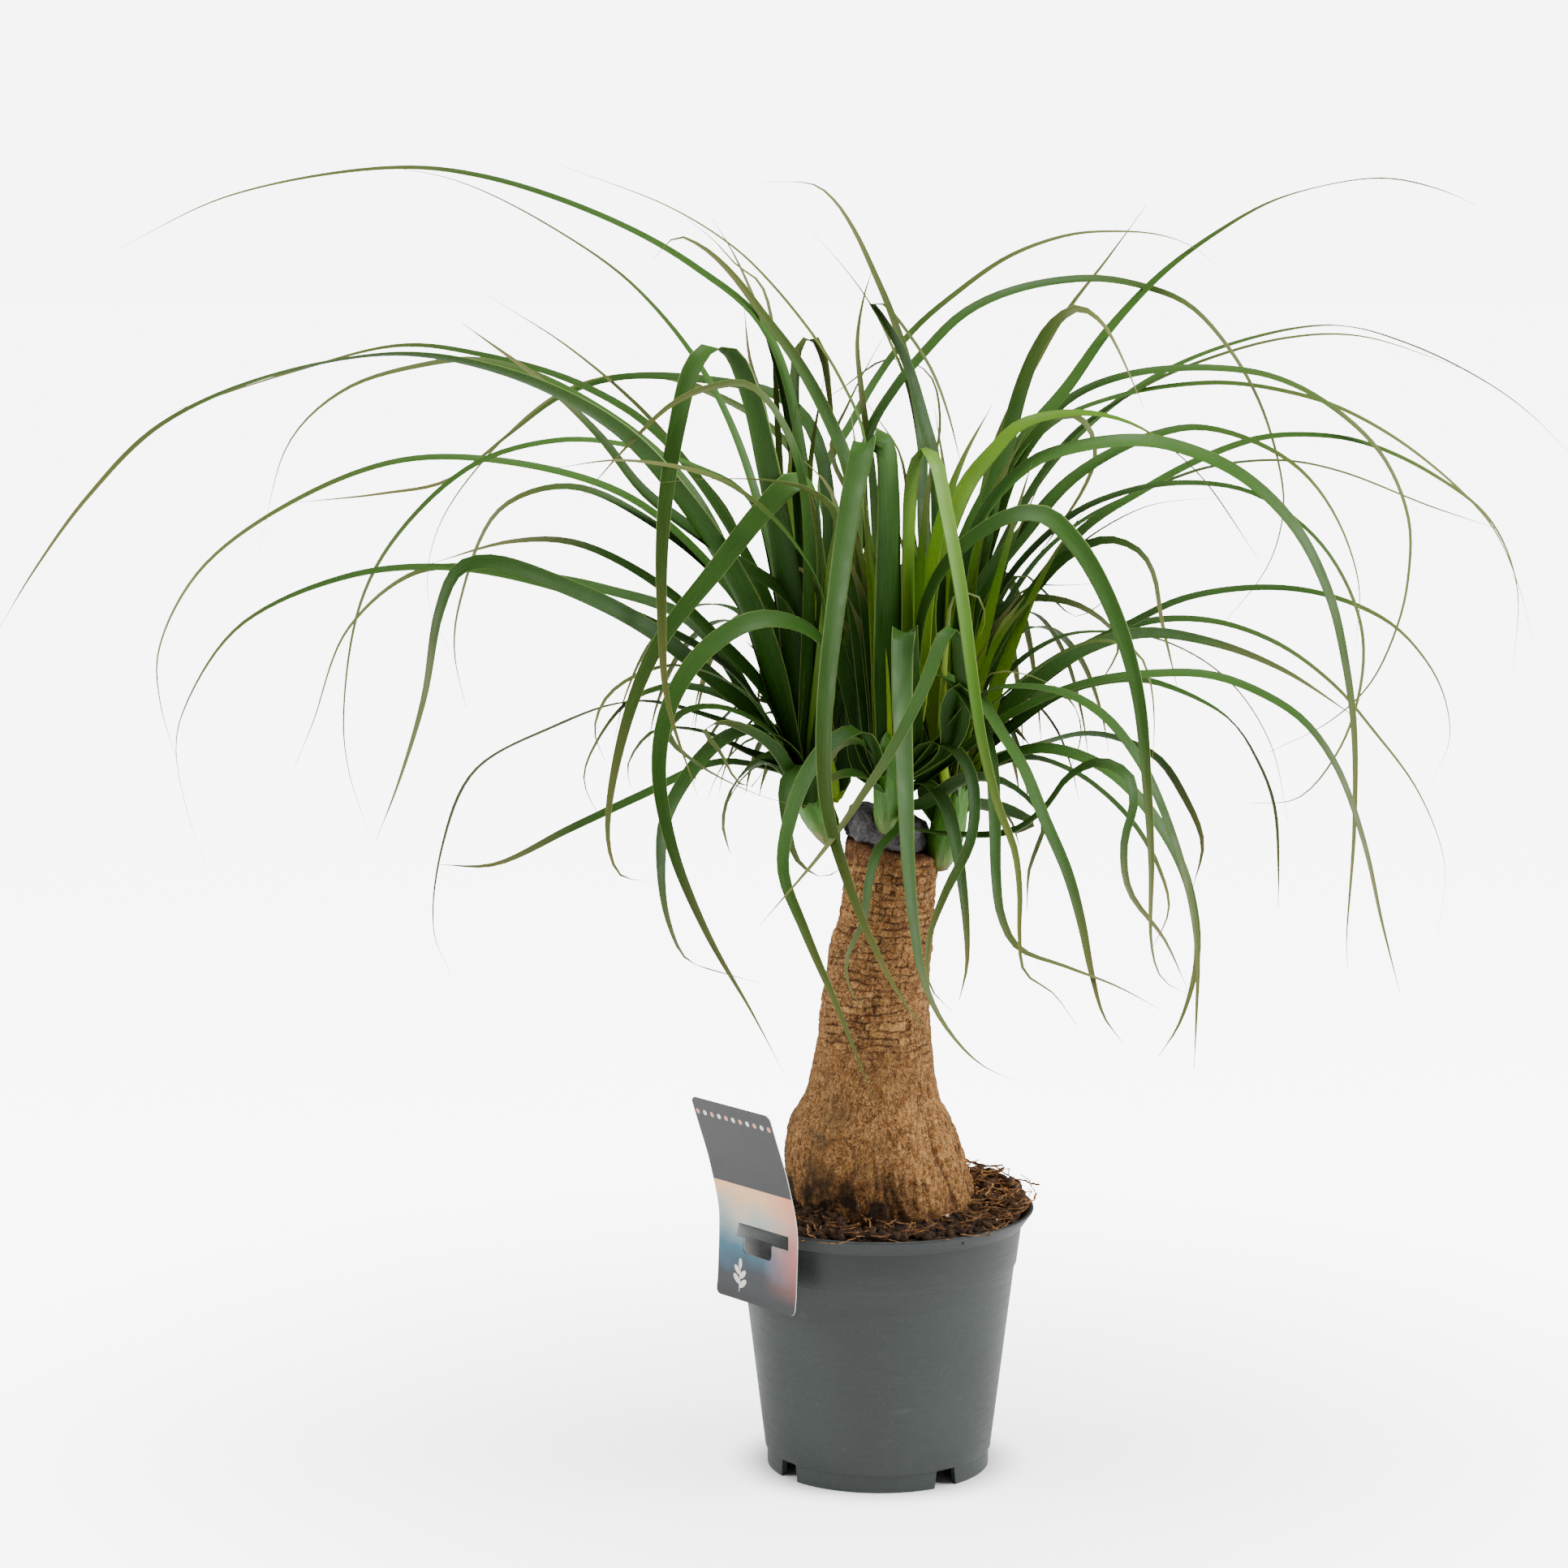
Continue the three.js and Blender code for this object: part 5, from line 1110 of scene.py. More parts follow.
def even_samples(dense, step=7.0):
    """Evenly spaced points on a polyline, with their tangents and fractions of its length."""
    spans = np.linalg.norm(np.diff(dense, axis=0), axis=1)
    travelled = np.concatenate([[0], np.cumsum(spans)])
    count = max(14, int(travelled[-1] / step))
    wanted = np.linspace(0, travelled[-1], count)
    points = np.stack([np.interp(wanted, travelled, dense[:, k]) for k in range(3)], axis=1)
    tangents = np.gradient(points, axis=0)
    tangents /= np.linalg.norm(tangents, axis=1)[:, None]
    return points, tangents, wanted / travelled[-1], travelled[-1]


def width_at(width, s):
    """A blade's width: narrow where it clasps the shoot, then full, then drawn out to a thread."""
    thread = 1.1 * (1 - s ** 6) + 0.3
    return np.maximum(width * (1 - s ** 1.7) * np.minimum(1, 0.55 + 4 * s), thread)


def blade_rows(course, width, rolls, tone, seed):
    """Samples of one blade: place, width direction, half width, and what its finish needs."""
    points, tangents, s, length = even_samples(smooth_course(course))
    flat = points[:, :2] - points[0, :2]
    far = flat[np.argmax(np.linalg.norm(flat, axis=1))]
    level = np.array([-far[1], far[0], 0]) / max(np.linalg.norm(far), 1e-6)
    sides = level - tangents * (tangents @ level)[:, None]
    sides /= np.linalg.norm(sides, axis=1)[:, None]
    ups = np.cross(tangents, sides)
    sway = np.array([noise.noise(Vector((seed * 7.3, v * 3.0, 0.5))) for v in s])
    base, middle, tip = rolls
    turned = base * (2 * s - 1) * (s - 1) + middle * 4 * s * (1 - s) + tip * s * (2 * s - 1)
    roll = np.radians(turned + SWAY * sway)
    sides = sides * np.cos(roll)[:, None] + ups * np.sin(roll)[:, None]
    return points, sides, width_at(width, s) / 2, s, length, tone


def head_blades(name, rows):
    """Every blade of a head: the traced ones, then the hidden ones."""
    head = HEADS[name]
    blades = [(traced_course(head, middle, tip, trace), width, rolls, tone)
              for width, middle, tip, *rolls, tone, trace in rows]
    draw = draws(SEED)
    for rule in HIDDEN_LEAVES + LOW_LEAVES + CORE_LEAVES:
        for i in range(rule["count"]):
            heading = between(rule["headings"], (i + 0.2 + 0.6 * next(draw)) / rule["count"])
            reach, crest = between(rule["reach"], next(draw)), between(rule["crest"], next(draw))
            width = between(rule["width"], next(draw))
            if rule["head"] == name:
                stands = rule in CORE_LEAVES
                facing = 80 * math.cos(math.radians(heading)) if stands else 0
                course = arch_course(head, heading, reach, crest, SPEAR if stands else ARCH)
                tone = YOUNG if stands and i % 3 == 1 else rule["tone"]
                blades.append((course, width, (facing, facing, facing), tone))
    return [blade_rows(*blade, seed) for seed, blade in enumerate(blades)]


print("leaf courses ready")

# %% [markdown]
# The blade itself follows a path, so Geometry Nodes make it. The courses come in as chains of
# edges, with the width direction and half width stored on their points. The tree turns them into
# curves, sets their normals, and sweeps one section along all of them: a flat ellipse bent into a
# channel. What the finish needs, such as the distance along and across the blade, rides along.

# %% Blade tree
def geometry_tree(name, inputs):
    """A geometry tree with a geometry input and output, and the named inputs."""
    tree = bpy.data.node_groups.new(name, "GeometryNodeTree")
    tree.interface.new_socket("Geometry", in_out="INPUT", socket_type="NodeSocketGeometry")
    for label, kind, default in inputs:
        socket = tree.interface.new_socket(label, in_out="INPUT", socket_type=kind)
        if default is not None:
            socket.default_value = default
    tree.interface.new_socket("Geometry", in_out="OUTPUT", socket_type="NodeSocketGeometry")
    return tree, tree.nodes.new("NodeGroupInput").outputs, tree.nodes.new("NodeGroupOutput").inputs


def run_tree(name, mesh, tree, values):
    """Runs a geometry tree on a mesh with the given inputs and returns the plain result."""
    obj = scratch_object(name, mesh)
    modifier = obj.modifiers.new("tree", "NODES")
    modifier.node_group = tree
    for item in tree.interface.items_tree:
        if item.in_out == "INPUT" and item.name in values:
            modifier[item.identifier] = values[item.name]
    result = apply_modifiers(obj)
    bpy.data.objects.remove(obj)
    return result


def named(tree, name, kind="FLOAT"):
    """A value stored on the geometry."""
    stored = add_node(tree, "GeometryNodeInputNamedAttribute", {"Name": name}, data_type=kind)
    return stored.outputs["Attribute"]


def kept_as(tree, geometry, name, value):
    """The geometry with a value stored on its points."""
    return add_node(tree, "GeometryNodeStoreNamedAttribute", {"Geometry": geometry, "Name": name, "Value": value},
                    data_type="FLOAT", domain="POINT").outputs[0]


def finished(tree, geometry, finish, soft):
    """The geometry made real, shaded smooth or flat, with its finish."""
    real = add_node(tree, "GeometryNodeRealizeInstances", {"Geometry": geometry}).outputs[0]
    shaded = add_node(tree, "GeometryNodeSetShadeSmooth", {"Geometry": real, "Shade Smooth": soft}).outputs[0]
    return add_node(tree, "GeometryNodeSetMaterial", {"Geometry": shaded, "Material": finish}).outputs[0]


def blade_tree():
    tree, given, out = geometry_tree("strap_blades", [
        ("Section Points", "NodeSocketInt", 12), ("Thickness", "NodeSocketFloat", 0.1),
        ("Channel", "NodeSocketFloat", 0.2), ("Finish", "NodeSocketMaterial", None)])
    circle = add_node(tree, "GeometryNodeCurvePrimitiveCircle",
                      {"Resolution": given["Section Points"], "Radius": 1.0}).outputs["Curve"]
    place = add_node(tree, "GeometryNodeInputPosition").outputs[0]
    parts = axes(tree, place)
    marked = kept_as(tree, kept_as(tree, circle, "across", parts["X"]), "upper", parts["Y"])
    lift = maths(tree, "ADD", maths(tree, "MULTIPLY", parts["Y"], given["Thickness"]),
                 maths(tree, "MULTIPLY", maths(tree, "MULTIPLY", parts["X"], parts["X"]), given["Channel"]))
    sunk = maths(tree, "SUBTRACT", lift, given["Channel"])
    bent = add_node(tree, "ShaderNodeCombineXYZ", {"X": parts["X"], "Y": sunk}).outputs[0]
    section = add_node(tree, "GeometryNodeSetPosition", {"Geometry": marked, "Position": bent})
    curves = add_node(tree, "GeometryNodeMeshToCurve", {"Mesh": given["Geometry"]}).outputs[0]
    turned = add_node(tree, "GeometryNodeSetCurveNormal", {"Curve": curves,
                      "Normal": named(tree, "side", "FLOAT_VECTOR")}, mode="FREE").outputs[0]
    swept = add_node(tree, "GeometryNodeCurveToMesh", {"Curve": turned, "Profile Curve": section.outputs[0],
                     "Scale": named(tree, "half_width"), "Fill Caps": True}).outputs[0]
    tree.links.new(finished(tree, swept, given["Finish"], True), out["Geometry"])
    return tree


BLADES = blade_tree()


def course_mesh(name, blades):
    """All blades of a head as chains of edges that carry what the tree and the finish need."""
    points, edges = [], []
    held = {"half_width": [], "along": [], "reach": [], "tone": []}
    sides = []
    for places, side, half, s, length, tone in blades:
        start = len(points)
        points += [tuple(p * MM) for p in places]
        edges += [(start + i, start + i + 1) for i in range(len(places) - 1)]
        sides += [tuple(v) for v in side]
        held["half_width"] += list(half * MM)
        held["along"] += list(s)
        held["reach"] += list(s * length * MM)
        held["tone"] += [tone] * len(places)
    mesh = bpy.data.meshes.new(name)
    mesh.from_pydata(points, edges, [])
    for key, values in held.items():
        store(mesh, key, values)
    store(mesh, "side", sides, "FLOAT_VECTOR")
    return mesh


# %% [markdown]
# The leaf finish runs from a base darkened as painted shade, where the crown shades it, through mid
# green with a lighter band round the crest, painted light where the arch catches the light from above,
# to dry olive tips. Undersides are darkened as painted shade, and young yellow-green leaves are
# lightened further as painted light shining through them. Fine lines run lengthwise, the margins are
# pale, and the upper face has a soft waxy sheen.

# %% Leaf finish
def leaf_finish(name, shift):
    finish, tree, shader = material(name, roughness=0.42, specular=0.42)
    along, across = attribute(tree, "along"), attribute(tree, "across")
    tone, upper = attribute(tree, "tone"), attribute(tree, "upper")
    reach, half = attribute(tree, "reach"), attribute(tree, "half_width")
    # Painted shade and light: both ramps are nearly black at the base, where the crown shades it, and the light one
    # is lightest round the crest, where the arch catches the light from above. The olive tips are the dry ends.
    dark = ramp(tree, along, [(0.0, srgb(8, 20, 2)), (0.18, srgb(12, 34, 3)), (0.42, srgb(30, 60, 12)),
                              (0.75, srgb(27, 50, 9)), (0.97, srgb(62, 54, 26))])
    light = ramp(tree, along, [(0.0, srgb(22, 44, 3)), (0.15, srgb(34, 74, 8)), (0.4, srgb(68, 106, 40)),
                               (0.62, srgb(44, 74, 20)), (0.97, srgb(78, 68, 32))])
    # Partly painted light: young leaves are yellow-green, and this ramp is brightened further to stand for light
    # shining through them.
    young_with_painted_glow = ramp(tree, along, [(0.0, srgb(70, 104, 20)), (0.14, srgb(150, 182, 16)),
                               (0.4, srgb(138, 178, 14)), (0.7, srgb(88, 136, 18)), (1.0, srgb(70, 104, 24))])
    colour = blend_colours(tree, ramp(tree, tone, [(0.1, 0.0), (0.75, 1.0)]), dark, light)
    colour = blend_colours(tree, ramp(tree, tone, [(0.75, 0.0), (0.95, 1.0)]), colour, young_with_painted_glow)
    # Painted shade: the underside of each blade is darkened, as it faces away from the light above.
    colour = blend_colours(tree, ramp(tree, upper, [(0.45, 0.3), (0.55, 0.0)]), colour, srgb(18, 42, 4))
    sideways = maths(tree, "MULTIPLY", across, half)
    lines_place = add_node(tree, "ShaderNodeCombineXYZ", {
        "X": sideways, "Y": maths(tree, "MULTIPLY", reach, 0.02), "Z": maths(tree, "MULTIPLY", tone, 3.0)}).outputs[0]
    lines = noise_value(tree, lines_place, 0.0005, detail=2)
    colour = blend_colours(tree, ramp(tree, lines, [(0.35, 0.0), (0.7, 0.25)]), colour, srgb(70, 108, 34))
    thin = ramp(tree, maths(tree, "MULTIPLY", half, 100.0), [(0.1, 0.75), (0.32, 0.0)])
    colour = blend_colours(tree, thin, colour, srgb(104, 104, 56))
    edge = ramp(tree, maths(tree, "ABSOLUTE", across), [(0.9, 0.0), (0.985, 0.6)])
    colour = blend_colours(tree, edge, colour, srgb(132, 152, 74))
    patches = noise_value(tree, object_place(tree), 0.03, detail=3)
    colour = blend_colours(tree, ramp(tree, patches, [(0.4, 0.0), (0.7, 0.25)]), colour, shift)
    tree.links.new(colour, shader.inputs["Base Color"])
    tree.links.new(bump(tree, lines, 0.00012, 0.5), shader.inputs["Normal"])
    rough = noise_value(tree, object_place(tree), 0.012, detail=2)
    tree.links.new(ramp(tree, rough, [(0.3, 0.42), (0.7, 0.56)]), shader.inputs["Roughness"])
    gloss = ramp(tree, along, [(0.1, 0.06), (0.35, 0.2), (0.6, 0.14)])
    tree.links.new(gloss, shader.inputs["Specular IOR Level"])
    return finish


BLADE_SHAPE = {"Section Points": 12, "Thickness": 0.09, "Channel": 0.22}
HEAD_LOOKS = {
    "left": (LEFT_LEAVES, srgb(38, 76, 18)),
    "middle": (MIDDLE_LEAVES, srgb(52, 90, 34)),
    "right": (RIGHT_LEAVES, srgb(36, 72, 16)),
}
for head_name, (rows, shift) in HEAD_LOOKS.items():
    finish = leaf_finish(head_name + "_leaf", shift)
    mesh = run_tree(head_name + "_courses", course_mesh(head_name, head_blades(head_name, rows)), BLADES,
                    {**BLADE_SHAPE, "Finish": finish})
    piece(head_name + "_leaves", mesh, finish, head_name + "_head")

# %% [markdown]
# ## Shoots
# Each head swells at its foot into a green bulb wrapped in old leaf bases. A turned form with
# upright folds, paler low down and papery where old leaves were pulled off, sits under the leaves.

# %% Shoots
SHOOT_RINGS = [(-2, 0.12), (-1, 0.45), (3, 0.68), (9, 0.88), (15, 0.98), (22, 1.0), (30, 0.98), (38, 0.93),
               (46, 0.8), (52, 0.6), (58, 0.35), (61, 0.08)]
SHOOT_COLUMNS = 60


def shoot_mesh(head):
    base, lean = Vector(head["base"]), Vector(head["lean"]).normalized()
    points = [tuple(base + lean * SHOOT_RINGS[0][0])]
    for height, girth in SHOOT_RINGS:
        centre = base + lean * height
        for c in range(SHOOT_COLUMNS):
            turn = 2 * math.pi * c / SHOOT_COLUMNS
            folds = 0.05 * math.sin(6 * turn + height / 9) + 0.025 * math.sin(11 * turn - height / 6)
            reach = head["girth"] * girth * (1 + folds * smoothstep(height, 0, 14))
            points.append((centre.x + reach * math.cos(turn), centre.y + reach * math.sin(turn), centre.z))
    points.append(tuple(base + lean * (SHOOT_RINGS[-1][0] + 1)))
    faces = [tuple(i + 1 for i in quad) for quad in ring_faces(len(SHOOT_RINGS), SHOOT_COLUMNS)]
    last = len(points) - 1
    faces += [(0, 1 + (c + 1) % SHOOT_COLUMNS, 1 + c) for c in range(SHOOT_COLUMNS)]
    faces += [(last, last - SHOOT_COLUMNS + c, last - SHOOT_COLUMNS + (c + 1) % SHOOT_COLUMNS)
              for c in range(SHOOT_COLUMNS)]
    mesh = mesh_from("shoot", points, faces)
    heights = [0.0] + [r[0] / 60 for r in SHOOT_RINGS for _ in range(SHOOT_COLUMNS)] + [1.0]
    store(mesh, "rise", heights)
    return mesh


def shoot_finish():
    finish, tree, shader = material("shoot_green", roughness=0.45)
    place = object_place(tree)
    rise = attribute(tree, "rise")
    colour = ramp(tree, rise, [(0.0, srgb(92, 78, 30)), (0.06, srgb(88, 112, 24)), (0.3, srgb(66, 122, 14)),
                               (0.8, srgb(60, 112, 10))])
    streaks = noise_value(tree, place, 0.004, detail=4, stretch=(0.5, 0.5, 4))
    colour = blend_colours(tree, ramp(tree, streaks, [(0.45, 0.0), (0.65, 0.6)]), colour, srgb(36, 80, 8))
    papery = ramp(tree, noise_value(tree, place, 0.009, detail=4), [(0.6, 0.0), (0.68, 0.8)])
    papery = maths(tree, "MULTIPLY", papery, ramp(tree, rise, [(0.05, 1.0), (0.3, 0.0)]))
    colour = blend_colours(tree, papery, colour, srgb(140, 112, 66))
    tree.links.new(colour, shader.inputs["Base Color"])
    tree.links.new(bump(tree, streaks, 0.0006, 0.6), shader.inputs["Normal"])
    return finish


SHOOT_FINISH = shoot_finish()
for head_name, head in HEADS.items():
    piece(head_name + "_shoot", shoot_mesh(head), SHOOT_FINISH, head_name + "_head")

# %% [markdown]
# ## Card
# The care card is a bent sheet of printed plastic. It is drawn flat with its window, given its
# thickness, sliced finely and then bent onto the curve it takes at the rim. Its print is generic:
# a dark header with a row of dots near the top edge, a soft gradient and a plain sprig. The finish
# draws it all from flat coordinates in millimetres.

# %% Card shape
CARD = dict(azimuth=220, width=66, thick=0.8, foot=105, top=218, corner=3.5,
            window=(-17, 26, 139.6, 147.6), tab=(24, 131, 140.5), tongue=22)
CARD_GAP = 0.6
CARD_BEND = [(105, 2.5), (113, 1.5), (122, 1.0), (137, 0.4), (150, 0.4), (157, 1.3), (165, 3.0), (174, 5.4),
             (184, 8.2), (201, 14.2), (218, 20.2)]
TONGUE_BEND = [(0.4, 151.5), (-0.6, 149.6), (-1.7, 149.0), (-3, 148.6), (-4.3, 147.9), (-5.2, 147),
               (-7.0, 144), (-8.8, 141), (-10.7, 138), (-11.6, 135), (-12, 132)]


def on_card(along, out, z):
    """A point given along the card, outwards from the rim, and by height."""
    turn = math.radians(CARD["azimuth"])
    return (*along_heading(turn, POT["rim"] + CARD_GAP + out, along), z)


def rounded_box(left, right, low, high, radius, steps=6):
    """Corner points of a rounded rectangle, anticlockwise."""
    corners = [(right - radius, low + radius, -90), (right - radius, high - radius, 0),
               (left + radius, high - radius, 90), (left + radius, low + radius, 180)]
    return [(x + radius * math.cos(math.radians(start + 90 * k / steps)),
             z + radius * math.sin(math.radians(start + 90 * k / steps)))
            for x, z, start in corners for k in range(steps + 1)]


def window_outline():
    left, right, low, high = CARD["window"]
    tab_wide, tab_low, _ = CARD["tab"]
    tab = tab_wide / 2
    return [(left, high), (left, low), (-tab, low), (-tab, tab_low + 3), (-tab + 0.9, tab_low + 0.9),
            (-tab + 3, tab_low), (tab - 3, tab_low), (tab - 0.9, tab_low + 0.9), (tab, tab_low + 3),
            (tab, low), (right, low), (right, high)]


def flat_sheet(outlines, thick):
    """A flat sheet with holes, in x and z, from closed outlines."""
    curve = bpy.data.curves.new("outline", "CURVE")
    curve.dimensions = "2D"
    curve.fill_mode = "BOTH"
    curve.extrude = thick / 2
    for outline in outlines:
        spline = curve.splines.new("POLY")
        spline.points.add(len(outline) - 1)
        for point, (x, z) in zip(spline.points, outline):
            point.co = (x, z, 0, 1)
        spline.use_cyclic_u = True
    obj = scratch_object("outline", curve)
    mesh = apply_modifiers(obj)
    bpy.data.objects.remove(obj)
    return mesh


def bend_at(z):
    heights = [p[0] for p in CARD_BEND]
    i = min(max(int(np.searchsorted(heights, z)) - 1, 0), len(CARD_BEND) - 2)
    (z1, o1), (z2, o2) = CARD_BEND[i], CARD_BEND[i + 1]
    z0, o0 = CARD_BEND[max(i - 1, 0)]
    z3, o3 = CARD_BEND[min(i + 2, len(CARD_BEND) - 1)]
    m1 = (o2 - o0) / (z2 - z0) * (z2 - z1)
    m2 = (o3 - o1) / (z3 - z1) * (z2 - z1)
    t = (z - z1) / (z2 - z1)
    return (o1 * (2 * t ** 3 - 3 * t ** 2 + 1) + m1 * (t ** 3 - 2 * t ** 2 + t)
            + o2 * (3 * t ** 2 - 2 * t ** 3) + m2 * (t ** 3 - t ** 2))


def card_mesh():
    half = CARD["width"] / 2
    flat = flat_sheet([rounded_box(-half, half, CARD["foot"], CARD["top"], CARD["corner"]), window_outline()],
                      CARD["thick"])
    work = bmesh.new()
    work.from_mesh(flat)
    bmesh.ops.remove_doubles(work, verts=work.verts, dist=1e-4)
    for z in np.arange(CARD["foot"] + 2, CARD["top"], 2.0):
        bmesh.ops.bisect_plane(work, geom=work.verts[:] + work.edges[:] + work.faces[:], plane_co=(0, z, 0),
                               plane_no=(0, 1, 0))
    print_layer = work.verts.layers.float_vector.new("print")
    for vert in work.verts:
        x, z, depth = vert.co
        vert[print_layer] = (x, z, 1.0 if depth > 0 else 0.0)
        out = bend_at(z)
        slope = bend_at(z + 0.5) - bend_at(z - 0.5)
        lean = math.hypot(1, slope)
        vert.co = Vector(on_card(x, out + depth / lean, z - depth * slope / lean)) * MM
    width, thick = CARD["tongue"] / 2, CARD["thick"] / 2
    rings = []
    for i, (out, z) in enumerate(TONGUE_BEND):
        before, after = TONGUE_BEND[max(i - 1, 0)], TONGUE_BEND[min(i + 1, len(TONGUE_BEND) - 1)]
        run, rise = after[0] - before[0], after[1] - before[1]
        length = math.hypot(run, rise)
        nx, nz = rise / length * thick, -run / length * thick
        ring = []
        for a, b in ((-1, -1), (1, -1), (1, 1), (-1, 1)):
            vert = work.verts.new(Vector(on_card(a * width, out + b * nx, z + b * nz)) * MM)
            vert[print_layer] = (a * width, 152 + i, 0.0)
            ring.append(vert)
        rings.append(ring)
    for first, second in zip(rings, rings[1:]):
        for k in range(4):
            work.faces.new((first[k], first[(k + 1) % 4], second[(k + 1) % 4], second[k]))
    work.faces.new(rings[0])
    work.faces.new(rings[-1][::-1])
    bmesh.ops.recalc_face_normals(work, faces=work.faces)
    mesh = bpy.data.meshes.new("card")
    work.to_mesh(mesh)
    work.free()
    sharp_by_angle(mesh)
    return mesh


# %% Card print
HEADER_FOOT = 170.0
SPRIG_FOOT = (-14.0, 109.0)
SPRIG_LEAVES = [(3, 40, 7, 1.7), (5, 140, 7, 1.7), (8, 44, 6.5, 1.6), (10, 136, 6.5, 1.6), (13, 90, 6, 1.4)]
DOTS = dict(pitch=12.0, height=210.0, radius=1.5)


def dot_row(tree, along, height, shift):
    """A mask of round dots in a row, one at shift and one at every pitch to both sides of it."""
    pitch, radius = DOTS["pitch"], DOTS["radius"]
    moved = maths(tree, "ADD", along, pitch / 2 - shift)
    side = maths(tree, "SUBTRACT", maths(tree, "FLOORED_MODULO", moved, pitch), pitch / 2)
    rise = maths(tree, "SUBTRACT", height, DOTS["height"])
    square = maths(tree, "ADD", maths(tree, "MULTIPLY", side, side), maths(tree, "MULTIPLY", rise, rise))
    return ramp(tree, maths(tree, "DIVIDE", square, radius * radius), [(0.9, 1.0), (1.0, 0.0)])


def make_leaf_mark():
    """One printed leaf: a mask that is 1 inside an ellipse with its foot at Centre, turned by Angle."""
    tree, given, out = shader_group("leaf_mark", [
        ("Place", PLACE, None), ("Centre", PLACE, None), ("Angle", NUMBER, 0.0), ("Length", NUMBER, 8.0),
        ("Width", NUMBER, 2.0)], [("Mask", NUMBER)])
    moved = vector_maths(tree, "SUBTRACT", given["Place"], given["Centre"])
    back = maths(tree, "MULTIPLY", given["Angle"], -1.0)
    turned = add_node(tree, "ShaderNodeVectorRotate", {"Vector": moved, "Angle": back},
                      rotation_type="Z_AXIS").outputs[0]
    parts = axes(tree, turned)
    half_length = maths(tree, "MULTIPLY", given["Length"], 0.5)
    run = maths(tree, "SUBTRACT", maths(tree, "DIVIDE", parts["X"], half_length), 1.0)
    side = maths(tree, "DIVIDE", parts["Y"], given["Width"])
    square = maths(tree, "ADD", maths(tree, "MULTIPLY", run, run), maths(tree, "MULTIPLY", side, side))
    tree.links.new(ramp(tree, square, [(0.92, 1.0), (1.0, 0.0)]), out["Mask"])
    return tree


LEAF_MARK = make_leaf_mark()


def card_finish():
    finish, tree, shader = material("printed_card", roughness=0.32, coat=0.25, coat_roughness=0.2)
    flat = attribute(tree, "print", "Vector")
    parts = axes(tree, flat)
    tall = CARD["top"] - CARD["foot"]
    height = maths(tree, "DIVIDE", maths(tree, "SUBTRACT", parts["Y"], CARD["foot"]), tall)
    wash = noise_value(tree, flat, 22.0, detail=2)
    soft = maths(tree, "ADD", height, maths(tree, "MULTIPLY", maths(tree, "SUBTRACT", wash, 0.5), 0.22))
    colour = ramp(tree, soft, [(0.0, srgb(12, 13, 16)), (0.12, srgb(10, 22, 30)), (0.26, srgb(16, 84, 108)),
                               (0.42, srgb(168, 174, 162)), (0.54, srgb(240, 186, 134))])
    blush = add_node(tree, "ShaderNodeMath", {0: maths(tree, "MULTIPLY", parts["X"], 0.02), 1: -0.1},
                     operation="ADD", use_clamp=True).outputs[0]
    blush = maths(tree, "MULTIPLY", blush, ramp(tree, height, [(0.04, 0.0), (0.26, 1.0)]))
    colour = blend_colours(tree, blush, colour, srgb(220, 104, 66))
    marks = None
    for rise, angle, length, width in SPRIG_LEAVES:
        mask = use_group(tree, LEAF_MARK, {
            "Place": flat, "Centre": (SPRIG_FOOT[0], SPRIG_FOOT[1] + rise, 0), "Angle": math.radians(angle),
            "Length": length, "Width": width})["Mask"]
        marks = mask if marks is None else maths(tree, "MAXIMUM", marks, mask)
    flat_print = vector_maths(tree, "MULTIPLY", flat, (1, 1, 0))
    stem = use_group(tree, LEAF_MARK, {"Place": flat_print, "Centre": (SPRIG_FOOT[0], SPRIG_FOOT[1], 0),
                                       "Angle": math.radians(90), "Length": 14.0, "Width": 0.4})["Mask"]
    colour = blend_colours(tree, maths(tree, "MULTIPLY", maths(tree, "MAXIMUM", marks, stem), 0.85), colour,
                           srgb(236, 232, 220))
    header_edge = (HEADER_FOOT - CARD["foot"]) / tall
    header = ramp(tree, height, [(header_edge - 0.001, 0.0), (header_edge + 0.001, 1.0)])
    colour = blend_colours(tree, header, colour, srgb(29, 30, 33))
    for shift, dot_colour in ((0.0, srgb(238, 238, 236)), (DOTS["pitch"] / 2, srgb(226, 150, 128))):
        colour = blend_colours(tree, dot_row(tree, parts["X"], parts["Y"], shift), colour, dot_colour)
    back = maths(tree, "LESS_THAN", parts["Z"], 0.5)
    colour = blend_colours(tree, back, colour, srgb(232, 232, 230))
    tree.links.new(colour, shader.inputs["Base Color"])
    grain = noise_value(tree, object_place(tree), 0.002, detail=2)
    tree.links.new(bump(tree, grain, 0.00004, 0.4), shader.inputs["Normal"])
    return finish


piece("hooked_card", card_mesh(), card_finish(), "label")

# %% [markdown]
# ## Peat
# The pot is filled with dark peat. Its surface is lumpy, with reddish coir fibres lying in tangles
# and white grains of perlite. A skin of rings carries the lumps; crumbs, grains and fibres are small
# meshes that Geometry Nodes scatter over it from a fixed seed.

# %% Peat surface
SOIL = dict(level=146, lump=1.6, bank=2.6, columns=160, tufts=4.5, drift=6, hollow=4)


def soil_level(x, y):
    """Height of the peat: lumpy, banked up a little behind the trunk on the right."""
    lumps = math.sin(x / 7 + 1.3 * math.sin(y / 9)) * math.cos(y / 8 - 0.7 * math.sin(x / 11))
    bank = smoothstep(0.8 * y + 0.6 * x, 10, 60)
    return SOIL["level"] + SOIL["lump"] * lumps * 0.6 + SOIL["bank"] * bank


